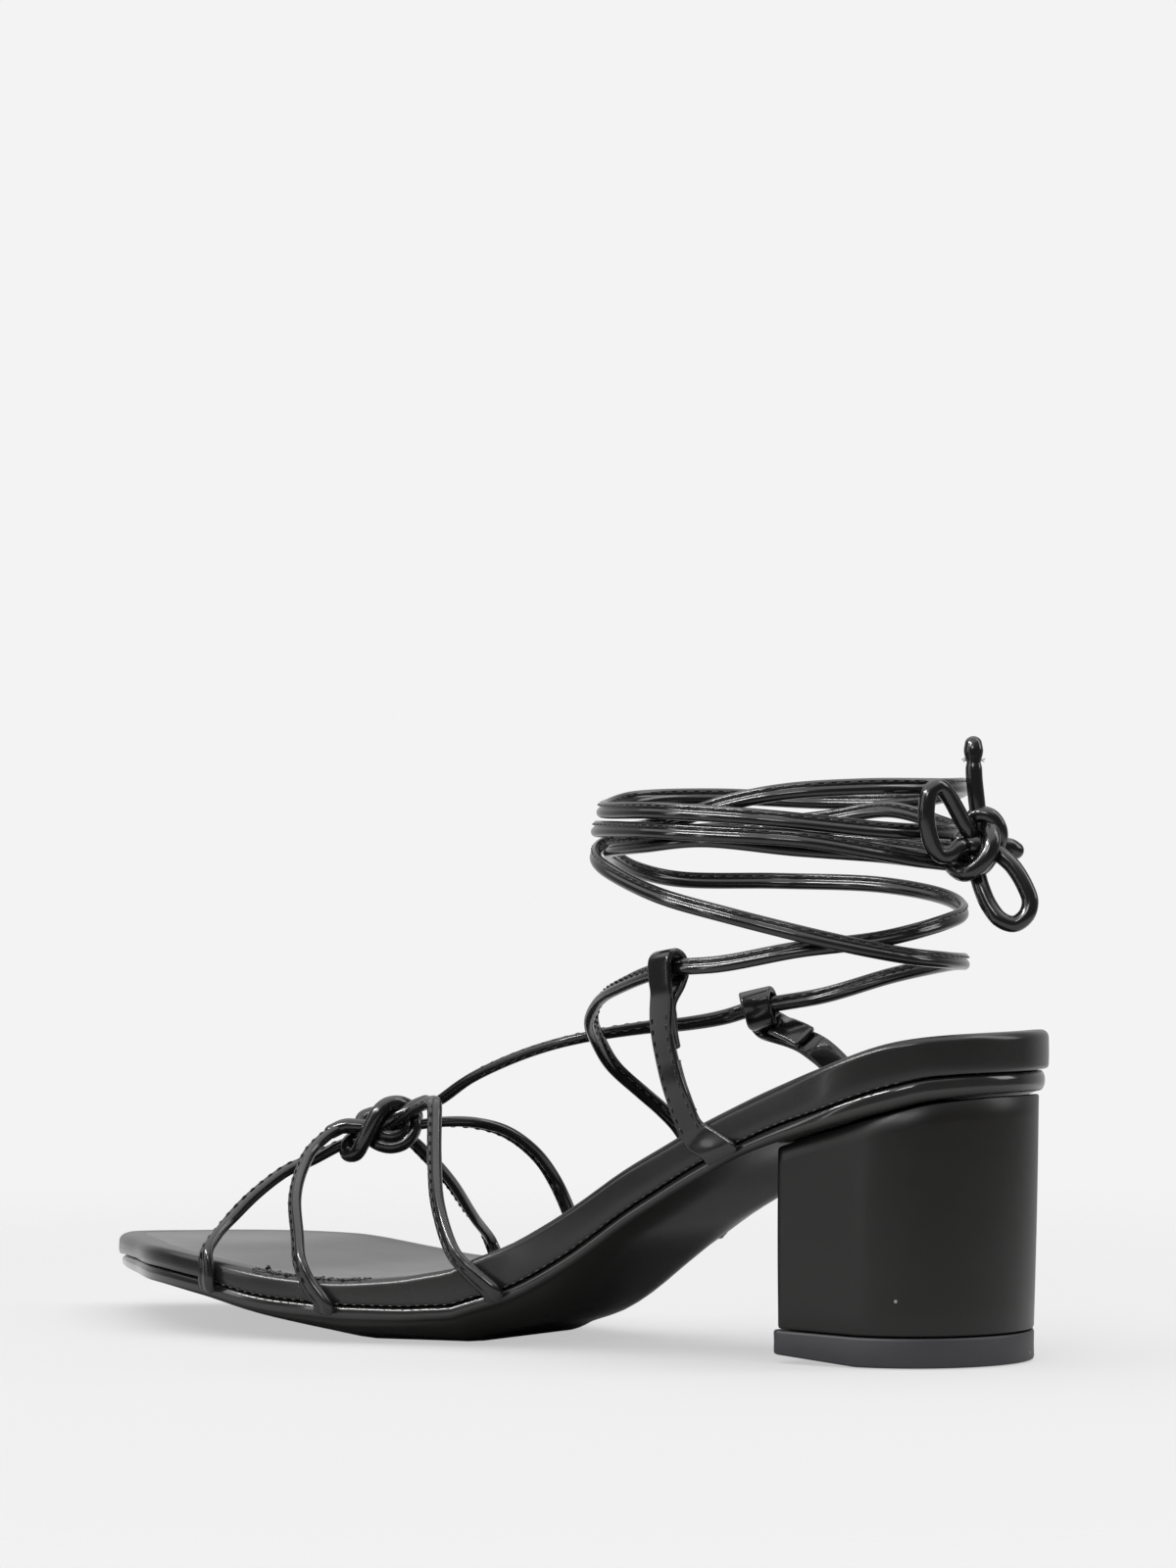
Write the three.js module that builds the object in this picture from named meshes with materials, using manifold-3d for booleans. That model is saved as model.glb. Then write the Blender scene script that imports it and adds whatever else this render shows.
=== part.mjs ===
// Strappy lace-up sandal on a block heel, left shoe.
// Millimetres: +X towards the toe, +Y towards the wearer's left, +Z up.
// The origin lies on the floor under the middle of the shoe.

import * as THREE from 'three';
import { mergeVertices } from 'three/addons/utils/BufferGeometryUtils.js';
import Module from 'manifold-3d';

const wasm = await Module();
wasm.setup();

// Driving dimensions

const LENGTH = 225.4; // back of the seat to the toe tip, in plan
const BALL_WIDTH = 76; // footbed across the ball
const WAIST_WIDTH = 47; // footbed across the waist
const SEAT_WIDTH = 54; // footbed across the heel seat
const TOE_OFFSET = 13; // toe tip inward of the middle line
const HEEL_HEIGHT = 51; // floor to the outsole's underside at the back
const TOE_SPRING = 9; // floor to the outsole's underside at the toe tip
const TOE_ROLL = 0.7; // left edge of the toe part above its middle, the right edge as much below
const SOLE_THICKNESS = 7.2; // outsole at the ball
const FOOTBED_THICKNESS = 8; // wrapped footbed at the waist
const RIM_INSET = 0.3; // rounded outsole rim inside the footbed's edge
const EDGE_RADIUS = 1.6; // rounded upper edge of the footbed
const FIT_GAP = 0.3; // between pieces that touch

const BLOCK_WIDTH = 47;
const BLOCK_LENGTH = 40;
const BLOCK_BACK = 1.6; // block's upper edge in from the back of the seat
const BLOCK_TAPER = 1.2; // block's back leans in by this much at its foot
const CORNER_RADIUS = 2;
const TOP_PIECE_THICKNESS = 5.6;
const TOP_PIECE_PROUD = 1; // top piece ahead of the block's breast
const TREAD_LIFT = 1.5; // tread off the floor at the breast
const TOP_LIFT = 0.5; // top piece's upper face at the breast, above its height at the back

const STRAP_WIDTH = 3.5;
const STRAP_THICKNESS = 2.4;
const STRAP_RISE = 40; // height over the outsole that the vamp straps' shares count in
const STAY_WIDTH = 5.4;
const STAY_THICKNESS = 1.3;
const STAY_TAB = 12; // turned-back end below each stay's loop
const FOLD_CLEARANCE = 0.45; // beyond the fit gap, between a stay's fold and its tie

const ANKLE_PLACE = 55; // back of the seat to the ankle's axis
const ANKLE_LENGTH = 69; // inside the wound ties, along the shoe
const ANKLE_WIDTH = 59; // inside the wound ties, across the shoe
const TIE_RISE = 46; // footbed's back edge to the top winding
const BOW_STANDOFF = 9.5; // bow knot's middle behind the windings
const BOW_SIDE = 1; // bow knot's middle beside the shoe's middle line
const BOW_RISE = 34; // bow knot's middle above the footbed's back edge
const KNOT_SIZE = 8.4;
const TIE_DIAMETER = 3.2; // free ends and loops of the bow

const OUTLINE_STEPS = 64;
const STRAP_STEP = 8;

// Footbed outline: shares of the length, and half widths as shares of the named width.
const OUTLINE = [
  { along: 0.014, left: 0.24, right: 0.24, of: SEAT_WIDTH },
  { along: 0.047, left: 0.4, right: 0.4, of: SEAT_WIDTH },
  { along: 0.115, left: 0.5, right: 0.5, of: SEAT_WIDTH },
  { along: 0.22, left: 0.49, right: 0.47, of: SEAT_WIDTH },
  { along: 0.33, left: 0.55, right: 0.455, of: WAIST_WIDTH },
  { along: 0.44, left: 0.585, right: 0.455, of: WAIST_WIDTH },
  { along: 0.54, left: 0.434, right: 0.35, of: BALL_WIDTH },
  { along: 0.64, left: 0.497, right: 0.434, of: BALL_WIDTH },
  { along: 0.73, left: 0.5, right: 0.478, of: BALL_WIDTH },
  { along: 0.815, left: 0.425, right: 0.49, of: BALL_WIDTH },
  { along: 0.89, left: 0.23, right: 0.45, of: BALL_WIDTH },
  { along: 0.947, left: 0.065, right: 0.37, of: BALL_WIDTH },
  { along: 0.985, left: -0.066, right: 0.275, of: BALL_WIDTH },
];

// Side profile: underside as shares of the heel height and the toe spring,
// outsole and footbed as shares of their thickness.
const PROFILE = [
  { along: 0, heel: 1, spring: 0, sole: 0.56, bed: 0.95 },
  { along: 0.04, heel: 0.982, spring: 0, sole: 0.61, bed: 0.96 },
  { along: 0.075, heel: 0.941, spring: 0, sole: 0.62, bed: 1.03 },
  { along: 0.137, heel: 0.863, spring: 0, sole: 0.5, bed: 0.99 },
  { along: 0.177, heel: 0.81, spring: 0, sole: 0.46, bed: 0.93 },
  { along: 0.217, heel: 0.745, spring: 0, sole: 0.41, bed: 0.92 },
  { along: 0.274, heel: 0.6, spring: 0, sole: 0.567, bed: 0.95 },
  { along: 0.319, heel: 0.485, spring: 0, sole: 0.58, bed: 1.01 },
  { along: 0.35, heel: 0.405, spring: 0, sole: 0.526, bed: 1.05 },
  { along: 0.385, heel: 0.274, spring: 0, sole: 0.723, bed: 1.07 },
  { along: 0.42, heel: 0.15, spring: 0, sole: 0.964, bed: 1.07 },
  { along: 0.447, heel: 0.085, spring: 0, sole: 1.014, bed: 1.04 },
  { along: 0.487, heel: 0.03, spring: 0, sole: 1.0, bed: 0.94 },
  { along: 0.504, heel: 0, spring: 0, sole: 1.07, bed: 0.87 },
  { along: 0.548, heel: 0, spring: 0, sole: 1, bed: 0.72 },
  { along: 0.595, heel: 0, spring: 0, sole: 1, bed: 0.61 },
  { along: 0.622, heel: 0, spring: 0.1, sole: 0.92, bed: 0.58 },
  { along: 0.686, heel: 0, spring: 0.367, sole: 0.69, bed: 0.59 },
  { along: 0.752, heel: 0, spring: 0.69, sole: 0.6, bed: 0.52 },
  { along: 0.819, heel: 0, spring: 0.92, sole: 0.5, bed: 0.51 },
  { along: 0.885, heel: 0, spring: 0.98, sole: 0.455, bed: 0.495 },
  { along: 0.951, heel: 0, spring: 1, sole: 0.375, bed: 0.51 },
  { along: 1, heel: 0, spring: 1, sole: 0.27, bed: 0.59 },
];

// Vamp straps from the outsole's groove to the knot: shares of the length,
// of the ball width and of the strap rise above the outsole.
const FRONT_STRAP = [
  { along: 0.737, across: 0.521, up: 0.14 },
  { along: 0.737, across: 0.468, up: 0.21 },
  { along: 0.737, across: 0.395, up: 0.298 },
  { along: 0.729, across: 0.316, up: 0.43 },
  { along: 0.717, across: 0.224, up: 0.558 },
  { along: 0.704, across: 0.171, up: 0.62 },
  { along: 0.685, across: 0.105, up: 0.715 },
  { along: 0.664, across: 0.066, up: 0.765 },
];
const MIDDLE_STRAP = [
  { along: 0.632, across: 0.505, up: 0.19 },
  { along: 0.646, across: 0.461, up: 0.308 },
  { along: 0.669, across: 0.382, up: 0.472 },
  { along: 0.685, across: 0.289, up: 0.6 },
  { along: 0.691, across: 0.211, up: 0.7 },
  { along: 0.683, across: 0.132, up: 0.793 },
  { along: 0.664, across: 0.092, up: 0.8 },
];
const REAR_STRAP = [
  { along: 0.492, across: 0.408, up: 0.25 },
  { along: 0.521, across: 0.355, up: 0.488 },
  { along: 0.547, across: 0.263, up: 0.718 },
  { along: 0.563, across: 0.197, up: 0.875 },
  { along: 0.572, across: 0.16, up: 0.955 },
  { along: 0.583, across: 0.128, up: 0.97 },
  { along: 0.603, across: 0.098, up: 0.94 },
  { along: 0.63, across: 0.075, up: 0.86 },
  { along: 0.652, across: 0.066, up: 0.79 },
];
const INNER_FRONT_STRAP = [
  { along: 0.659, across: -0.448, up: 0.2 },
  { along: 0.648, across: -0.316, up: 0.35 },
  { along: 0.638, across: -0.184, up: 0.518 },
  { along: 0.634, across: -0.066, up: 0.658 },
  { along: 0.638, across: 0.01, up: 0.755 },
  { along: 0.65, across: 0.055, up: 0.785 },
  { along: 0.668, across: 0.07, up: 0.76 },
];
const INNER_REAR_STRAP = [
  { along: 0.549, across: -0.362, up: 0.36 },
  { along: 0.559, across: -0.329, up: 0.545 },
  { along: 0.562, across: -0.25, up: 0.688 },
  { along: 0.571, across: -0.158, up: 0.798 },
  { along: 0.585, across: -0.079, up: 0.845 },
  { along: 0.606, across: -0.026, up: 0.85 },
  { along: 0.63, across: 0.02, up: 0.825 },
  { along: 0.65, across: 0.065, up: 0.8 },
  { along: 0.668, across: 0.1, up: 0.79 },
];
const VAMP_STRAPS = [ // each foot's place in the groove, and its slant towards the toe up the footbed's wall
  { side: 'left', foot: 0.737, slant: 0, route: FRONT_STRAP },
  { side: 'left', foot: 0.609, slant: 3.2, route: MIDDLE_STRAP },
  { side: 'left', foot: 0.457, slant: 4, route: REAR_STRAP },
  { side: 'right', foot: 0.655, slant: 0, route: INNER_FRONT_STRAP },
  { side: 'right', foot: 0.535, slant: 0, route: INNER_REAR_STRAP },
];

// Vamp knot's middle, in the same shares, and its two wraps in strap widths from it.
const VAMP_KNOT = { along: 0.652, across: 0.066, up: 0.79 };
const FRONT_WRAP = [
  { along: -1.4, across: 0.6, up: 1.7 },
  { along: -0.4, across: 1.4, up: 1 },
  { along: 1, across: 1.1, up: -0.4 },
  { along: 1.7, across: 0.3, up: -1.5 },
  { along: 1.7, across: -1.1, up: -1.1 },
  { along: 1, across: -1.7, up: 0.3 },
  { along: -0.4, across: -0.9, up: 1.2 },
];
const REAR_WRAP = [
  { along: -1.7, across: -0.6, up: 1.4 },
  { along: -2.6, across: 0, up: 0.2 },
  { along: -2.5, across: 0.9, up: -0.8 },
  { along: -1.4, across: 1.1, up: -1.2 },
  { along: 0.3, across: 0.6, up: -0.9 },
  { along: 0.8, across: -0.9, up: 0 },
  { along: 0.3, across: -1.7, up: 1 },
];

// Ties over the instep, before they reach the stays' loops.
const OUTER_TIE_START = [
  { along: 0.6178, across: 0.023, up: 0.932 },
  { along: 0.606, across: 0.013, up: 0.957 },
  { along: 0.565, across: 0.026, up: 1.085 },
  { along: 0.507, across: 0.013, up: 1.205 },
  { along: 0.451, across: -0.013, up: 1.2 },
  { along: 0.411, across: -0.118, up: 1.135 },
  { along: 0.39, across: -0.211, up: 1.08 },
  { along: 0.368, across: -0.29, up: 1.03 },
];
const INNER_TIE_FOOT = 0.372; // share of the length, in the groove on the right side
const INNER_TIE_START = [
  { along: 0.392, across: -0.29, up: 0.36 },
  { along: 0.411, across: -0.276, up: 0.618 },
  { along: 0.421, across: -0.237, up: 0.747 },
  { along: 0.43, across: -0.184, up: 0.862 },
  { along: 0.44, across: -0.092, up: 1.025 },
  { along: 0.436, across: 0, up: 1.15 },
  { along: 0.421, across: 0.092, up: 1.21 },
  { along: 0.39, across: 0.184, up: 1.22 },
  { along: 0.349, across: 0.276, up: 1.14 },
];

// Windings about the ankle: degrees from the toe side towards the left,
// shares of the tie rise above the footbed's back edge, and strap
// thicknesses outside the innermost winding.
const OUTER_TIE_LOOP = { turn: 307, up: 0.05, out: 0 };
const OUTER_TIE_WINDINGS = [
  { turn: 286, up: 0.1, out: 0.3 },
  { turn: 262, up: 0.19, out: 0.3 },
  { turn: 232, up: 0.255, out: 0.3 },
  { turn: 207, up: 0.27, out: 0.3 },
  { turn: 180, up: 0.285, out: 0.6 },
  { turn: 158, up: 0.31, out: 1 },
  { turn: 136, up: 0.365, out: 1 },
  { turn: 104, up: 0.47, out: 0.7 },
  { turn: 76, up: 0.56, out: 0.7 },
  { turn: 45, up: 0.667, out: 1 },
  { turn: 20, up: 0.735, out: 1 },
  { turn: -5, up: 0.775, out: 0.7 },
  { turn: -40, up: 0.81, out: 0.5 },
  { turn: -75, up: 0.86, out: 0 },
  { turn: -99, up: 0.9, out: 0 },
  { turn: -127, up: 0.84, out: 0 },
  { turn: -155, up: 0.81, out: 0 },
  { turn: -180, up: 0.81, out: 0.3 },
  { turn: -210, up: 0.825, out: 0.8 },
  { turn: -247, up: 0.875, out: 0.8 },
  { turn: -280, up: 0.9, out: 0.9 },
  { turn: -315, up: 0.9, out: 0.7 },
  { turn: -340, up: 0.91, out: 0.5 },
  { turn: -365, up: 0.945, out: 0.5 },
  { turn: -400, up: 0.955, out: 0.3 },
  { turn: -435, up: 0.935, out: 0.3 },
  { turn: -465, up: 0.94, out: 0.5 },
  { turn: -490, up: 0.975, out: 0.5 },
  { turn: -512, up: 1, out: 0.3 },
  { turn: -540, up: 1, out: 0.3 },
  { turn: -575, up: 1, out: 0.1 },
  { turn: -600, up: 0.98, out: 0 },
  { turn: -618, up: 0.935, out: 0 },
  { turn: -635, up: 0.87, out: 0 },
  { turn: -655, up: 0.825, out: 0 },
  { turn: -690, up: 0.82, out: 0.2 },
  { turn: -725, up: 0.81, out: 0 },
  { turn: -760, up: 0.8, out: 0 },
  { turn: -800, up: 0.77, out: 0.2 },
  { turn: -840, up: 0.745, out: 0.2 },
  { turn: -868, up: 0.735, out: 0.6 },
  { turn: -883, up: 0.735, out: 1 },
];
const INNER_TIE_LOOP = { turn: 80, up: 0.25, out: 0 };
const INNER_TIE_WINDINGS = [
  { turn: 100, up: 0.275, out: 0 },
  { turn: 124, up: 0.335, out: 0 },
  { turn: 151, up: 0.375, out: 0 },
  { turn: 180, up: 0.435, out: 0 },
  { turn: 207, up: 0.48, out: 0.2 },
  { turn: 235, up: 0.535, out: 0.2 },
  { turn: 266, up: 0.58, out: 0 },
  { turn: 300, up: 0.592, out: 0 },
  { turn: 335, up: 0.6, out: 0 },
  { turn: 357, up: 0.645, out: 0 },
  { turn: 380, up: 0.71, out: 0 },
  { turn: 405, up: 0.74, out: 0.2 },
  { turn: 430, up: 0.76, out: 0.4 },
  { turn: 454, up: 0.785, out: 0.3 },
  { turn: 483, up: 0.75, out: 0 },
  { turn: 510, up: 0.725, out: -0.1 },
  { turn: 545, up: 0.69, out: -0.3 },
  { turn: 575, up: 0.705, out: -0.2 },
  { turn: 620, up: 0.745, out: 0 },
  { turn: 665, up: 0.785, out: 0.2 },
  { turn: 705, up: 0.81, out: 0.5 },
  { turn: 747, up: 0.82, out: 0.9 },
  { turn: 792, up: 0.82, out: 0.8 },
  { turn: 815, up: 0.81, out: 1 },
  { turn: 846, up: 0.785, out: 1.1 },
  { turn: 868, up: 0.735, out: 1.1 },
  { turn: 882, up: 0.705, out: 1.2 },
];

// Stays: share of the way from the groove to the loop, and bulge towards the
// toe and outward in shares of that way.
const LEFT_STAY_FOOT = 0.229;
const RIGHT_STAY_FOOT = 0.224;
const LEFT_STAY_SLANT = 4; // millimetres towards the toe, up the footbed's wall
const RIGHT_STAY_SLANT = 0;
const LEFT_STAY = [
  { share: 0.3, forward: 0.14, out: 0.045 },
  { share: 0.49, forward: 0.145, out: 0.04 },
  { share: 0.68, forward: 0.12, out: 0.045 },
];
const RIGHT_STAY = [
  { share: 0.3, forward: -0.1, out: 0.05 },
  { share: 0.5, forward: -0.13, out: 0.06 },
  { share: 0.7, forward: -0.1, out: 0.05 },
];

// Bow, in millimetres from the middle of its knot: where each tie reaches it,
// then the routes of its loops and free ends.
const OUTER_TIE_END = [4.7, -2.6, 0.4];
const INNER_TIE_END = [4.6, 2.4, -2.3];
const BOW_LOOP_UPPER = [
  [0.3, 5.3, 0.7], [1, 6.6, -0.5], [2.4, 8.2, -0.9], [3.2, 10.2, 1.2], [3.4, 11.6, 4.4],
  [3.3, 12.1, 8], [3, 11.3, 11.1], [2.2, 9.5, 12], [1.6, 7.2, 10.4], [0.8, 5.1, 7.4], [0.1, 3.4, 4.6],
];
const BOW_LOOP_LOWER = [
  [-1.2, 1.2, -4.3], [-2.6, 1.8, -7.3], [-4.2, 1.9, -10.3], [-6.5, 1.5, -13], [-8.6, 0.1, -13.8],
  [-10.4, -1.2, -12.3], [-10.8, -2.1, -9.7], [-9.8, -2, -6.8], [-7.3, -1.5, -2.9], [-4.3, -0.9, -0.3],
];
const TIE_END_UPPER = [
  [-0.6, -0.4, 4.6], [-0.7, 0.1, 7], [-0.7, 0.8, 10.4], [-0.5, 1.1, 13.5], [-0.3, 1, 16.7], [0, 0.6, 20.5],
];
const TIE_END_LOWER = [
  [-2.4, -4.1, 1.2], [-3.2, -5.6, 0.8], [-3.8, -6.8, 0.3], [-4.3, -7.9, -0.2],
];

// Materials

const leather = new THREE.MeshStandardMaterial({ color: 0x1b1b1c, roughness: 0.42, metalness: 0 });
const lining = new THREE.MeshStandardMaterial({ color: 0x242323, roughness: 0.5, metalness: 0 });
const soleRubber = new THREE.MeshStandardMaterial({ color: 0x151516, roughness: 0.32, metalness: 0 });
const heelCover = new THREE.MeshStandardMaterial({ color: 0x161515, roughness: 0.4, metalness: 0 });
const treadRubber = new THREE.MeshStandardMaterial({ color: 0x2b2b2e, roughness: 0.6, metalness: 0 });

// Tables

// A smooth curve through one column of a table that never overshoots its rows.
function column(table, key, place) {
  const xs = table.map((row) => row.along);
  const ys = table.map((row) => row[key]);
  const last = xs.length - 1;
  const share = THREE.MathUtils.clamp(place, xs[0], xs[last]);
  let k = 0;
  while (k < last - 1 && share > xs[k + 1]) k += 1;
  const step = xs[k + 1] - xs[k];
  const t = (share - xs[k]) / step;
  const slope = (i) => {
    if (i <= 0 || i >= last) return 0;
    const before = (ys[i] - ys[i - 1]) / (xs[i] - xs[i - 1]);
    const after = (ys[i + 1] - ys[i]) / (xs[i + 1] - xs[i]);
    return before * after <= 0 ? 0 : (2 * before * after) / (before + after);
  };
  const rise = ys[k + 1] - ys[k];
  const start = slope(k) * step;
  const end = slope(k + 1) * step;
  return ys[k] + t * start + t * t * (3 * rise - 2 * start - end) + t * t * t * (start + end - 2 * rise);
}

// Heights of the underside, of the outsole's upper face and of the footbed's edge, and the
// shares that a place has in the heel seat and in the flat-bottomed forefoot.
function heightsAt(x, y = 0) {
  const place = x / LENGTH;
  const roll = (TOE_ROLL * THREE.MathUtils.smoothstep(place, 0.6, 0.75) * y) / (BALL_WIDTH / 2);
  const under = column(PROFILE, 'heel', place) * HEEL_HEIGHT + column(PROFILE, 'spring', place) * TOE_SPRING + roll;
  const groove = under + column(PROFILE, 'sole', place) * SOLE_THICKNESS;
  const top = groove + column(PROFILE, 'bed', place) * FOOTBED_THICKNESS;
  const seat = 1 - THREE.MathUtils.smoothstep(place, 0.15, 0.3);
  const forefoot = THREE.MathUtils.smoothstep(place, 0.45, 0.54);
  return { under, groove, top, seat, forefoot };
}

const outlinePoints = [
  new THREE.Vector3(0, 0, 0),
  ...OUTLINE.map((row) => new THREE.Vector3(row.along * LENGTH, row.left * row.of, 0)),
  new THREE.Vector3(LENGTH, -TOE_OFFSET, 0),
  ...OUTLINE.map((row) => new THREE.Vector3(row.along * LENGTH, -row.right * row.of, 0)).reverse(),
];
const outline = new THREE.CatmullRomCurve3(outlinePoints, true, 'centripetal');

// A point of the footbed's outline, moved outward by a distance.
function outlineAt(share, outward) {
  const point = outline.getPoint(share);
  const tangent = outline.getTangent(share);
  return new THREE.Vector3(point.x - tangent.y * outward, point.y + tangent.x * outward, 0);
}

// The outline's parameter where one side passes a place along the shoe.
function shareOnSide(side, along) {
  let low = 0;
  let high = 0.5;
  for (let i = 0; i < 40; i += 1) {
    const middle = (low + high) / 2;
    const point = outline.getPoint(side === 'left' ? middle : 1 - middle);
    if (point.x < along * LENGTH) low = middle;
    else high = middle;
  }
  return side === 'left' ? low : 1 - low;
}

// Closed shells

function geometryFrom(points, faces) {
  const geometry = new THREE.BufferGeometry();
  geometry.setAttribute('position', new THREE.Float32BufferAttribute(points.flatMap((p) => [p.x, p.y, p.z]), 3));
  let volume = 0;
  for (const [a, b, c] of faces) {
    volume += points[a].dot(new THREE.Vector3().crossVectors(points[b], points[c]));
  }
  const outward = volume > 0 ? faces : faces.map(([a, b, c]) => [a, c, b]);
  geometry.setIndex(outward.flat());
  geometry.computeVertexNormals();
  return geometry;
}

// Rings of equal length joined in order and closed at both ends. A strip end
// pairs each point with the one across the shoe; a fan end suits a small section.
function shell(rings, ends) {
  const count = rings[0].length;
  const faces = [];
  for (let r = 0; r < rings.length - 1; r += 1) {
    for (let i = 0; i < count; i += 1) {
      const a = r * count + i;
      const b = r * count + ((i + 1) % count);
      faces.push([a, b, b + count], [a, b + count, a + count]);
    }
  }
  for (const [ring, flip] of [[0, true], [rings.length - 1, false]]) {
    const base = ring * count;
    const end = [];
    if (ends === 'fan') {
      for (let i = 1; i < count - 1; i += 1) end.push([base, base + i, base + i + 1]);
    } else {
      const half = count / 2;
      end.push([base, base + 1, base + count - 1]);
      for (let i = 1; i < half - 1; i += 1) {
        const across = base + count - i;
        end.push([base + i, base + i + 1, across - 1], [base + i, across - 1, across]);
      }
      end.push([base + half - 1, base + half, base + half + 1]);
    }
    faces.push(...(flip ? end.map(([a, b, c]) => [a, c, b]) : end));
  }
  return geometryFrom(rings.flat(), faces);
}

// One ring of the last-shaped pieces: the outline moved inward, then drawn
// towards the shoe's middle line, at a height worked out from its place.
function lastRing({ inset = 0, draw = 1, height }) {
  const ring = [];
  for (let i = 0; i < OUTLINE_STEPS; i += 1) {
    const point = outlineAt(i / OUTLINE_STEPS, -inset);
    const middleX = THREE.MathUtils.clamp(point.x, SEAT_WIDTH / 2, LENGTH - BALL_WIDTH / 2);
    const middleY = -TOE_OFFSET * Math.max(0, (middleX / LENGTH - 0.4) / 0.6);
    point.x = middleX + (point.x - middleX) * draw;
    point.y = middleY + (point.y - middleY) * draw;
    point.z = height(heightsAt(point.x, point.y));
    ring.push(point);
  }
  return ring;
}

// Outsole: a rounded rim, nearly the whole thickness under the seat, then an underside
// that turns in from it and is flat in the middle.
function outsole() {
  const rim = (h) => {
    const whole = h.groove - h.under;
    return h.seat * whole * 0.92 + (1 - h.seat) * Math.min(2.7, whole * 0.8);
  };
  const below = (h, waist, forefoot) => {
    const share = waist + (forefoot - waist) * h.forefoot;
    return h.groove - rim(h) - share * (h.groove - rim(h) - h.under);
  };
  return shell([
    lastRing({ inset: 6, height: (h) => h.groove }),
    lastRing({ inset: RIM_INSET + 0.9, height: (h) => h.groove }),
    lastRing({ inset: RIM_INSET + 0.3, height: (h) => h.groove - 0.08 * rim(h) }),
    lastRing({ inset: RIM_INSET + 0.03, height: (h) => h.groove - 0.3 * rim(h) }),
    lastRing({ inset: RIM_INSET, height: (h) => h.groove - 0.6 * rim(h) }),
    lastRing({ inset: RIM_INSET + 0.35, height: (h) => h.groove - rim(h) }),
    lastRing({ inset: RIM_INSET + 1.2, height: (h) => below(h, 0.25, 0.4) }),
    lastRing({ inset: 4, height: (h) => below(h, 0.6, 0.72) }),
    lastRing({ inset: 8, height: (h) => below(h, 0.9, 0.87) }),
    lastRing({ inset: 8, draw: 0.72, height: (h) => h.under }),
  ], 'strip');
}

function footbed() {
  const lift = (h) => h.groove + FIT_GAP;
  return shell([
    lastRing({ inset: 6, height: lift }),
    lastRing({ inset: 0.9, height: lift }),
    lastRing({ inset: 0.2, height: (h) => lift(h) + 0.8 }),
    lastRing({ inset: 0, height: (h) => lift(h) + (h.top - lift(h)) * 0.45 }),
    lastRing({ inset: 0.15, height: (h) => h.top - Math.min(EDGE_RADIUS, (h.top - lift(h)) * 0.4) }),
    lastRing({ inset: EDGE_RADIUS * 0.4, height: (h) => h.top - 0.3 }),
    lastRing({ inset: EDGE_RADIUS * 1.5, height: (h) => h.top + 0.1 }),
    lastRing({ inset: 6, height: (h) => h.top + 0.2 }),
  ], 'strip');
}

// Heel block and top piece: a flat breast, straight sides and a round back.
function blockRing({ proud = 0, lean = 0, height }) {
  const back = BLOCK_BACK;
  const breast = BLOCK_BACK + BLOCK_LENGTH;
  const half = BLOCK_WIDTH / 2;
  const roundLength = half * 0.95;
  const side = [];
  for (let i = 0; i <= 12; i += 1) {
    const angle = (i / 12) * (Math.PI / 2);
    side.push([back + roundLength * (1 - Math.cos(angle)), half * Math.sin(angle)]);
  }
  for (const share of [0.25, 0.5, 0.75]) {
    side.push([back + roundLength + share * (BLOCK_LENGTH - roundLength - CORNER_RADIUS), half]);
  }
  for (let i = 0; i <= 4; i += 1) {
    const angle = (i / 4) * (Math.PI / 2);
    side.push([
      breast + proud - CORNER_RADIUS * (1 - Math.sin(angle)),
      half - CORNER_RADIUS * (1 - Math.cos(angle)),
    ]);
  }
  side.push([breast + proud, 0]);
  const mirrored = side.slice(1, -1).reverse().map(([x, y]) => [x, -y]);
  return [...side, ...mirrored].map(([x, y]) => {
    const leant = x + (lean * (breast - x)) / BLOCK_LENGTH;
    return new THREE.Vector3(leant, y, height(x));
  });
}

// Share of a lift that rises evenly along the block's straight sides to its breast.
function towardsBreast(x) {
  const straight = BLOCK_BACK + BLOCK_WIDTH * 0.475;
  return Math.max(0, (x - straight) / (BLOCK_BACK + BLOCK_LENGTH - straight));
}

function heelBlock() {
  const foot = (x) => TOP_PIECE_THICKNESS + FIT_GAP + TOP_LIFT * towardsBreast(x);
  const head = (x) => heightsAt(x).under - FIT_GAP * 1.4;
  return shell([
    blockRing({ lean: BLOCK_TAPER, height: foot }),
    blockRing({ lean: BLOCK_TAPER * 0.5, height: (x) => (foot(x) + head(x)) / 2 }),
    blockRing({ height: head }),
  ], 'strip');
}

function topPiece() {
  return shell([
    blockRing({ proud: TOP_PIECE_PROUD, lean: BLOCK_TAPER, height: (x) => TREAD_LIFT * towardsBreast(x) }),
    blockRing({
      proud: TOP_PIECE_PROUD,
      lean: BLOCK_TAPER,
      height: (x) => TOP_PIECE_THICKNESS + TOP_LIFT * towardsBreast(x),
    }),
  ], 'strip');
}

// Straps

// Six-sided section of a strap: across its width, and out of the foot.
function strapSection(width, thickness) {
  return [[0.5, 0], [0.28, 0.5], [-0.28, 0.5], [-0.5, 0], [-0.28, -0.5], [0.28, -0.5]]
    .map(([across, out]) => [across * width, out * thickness]);
}

function bandSection(width, thickness) {
  return [[0.5, 0.5], [-0.5, 0.5], [-0.5, -0.5], [0.5, -0.5]]
    .map(([across, out]) => [across * width, out * thickness]);
}

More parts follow.
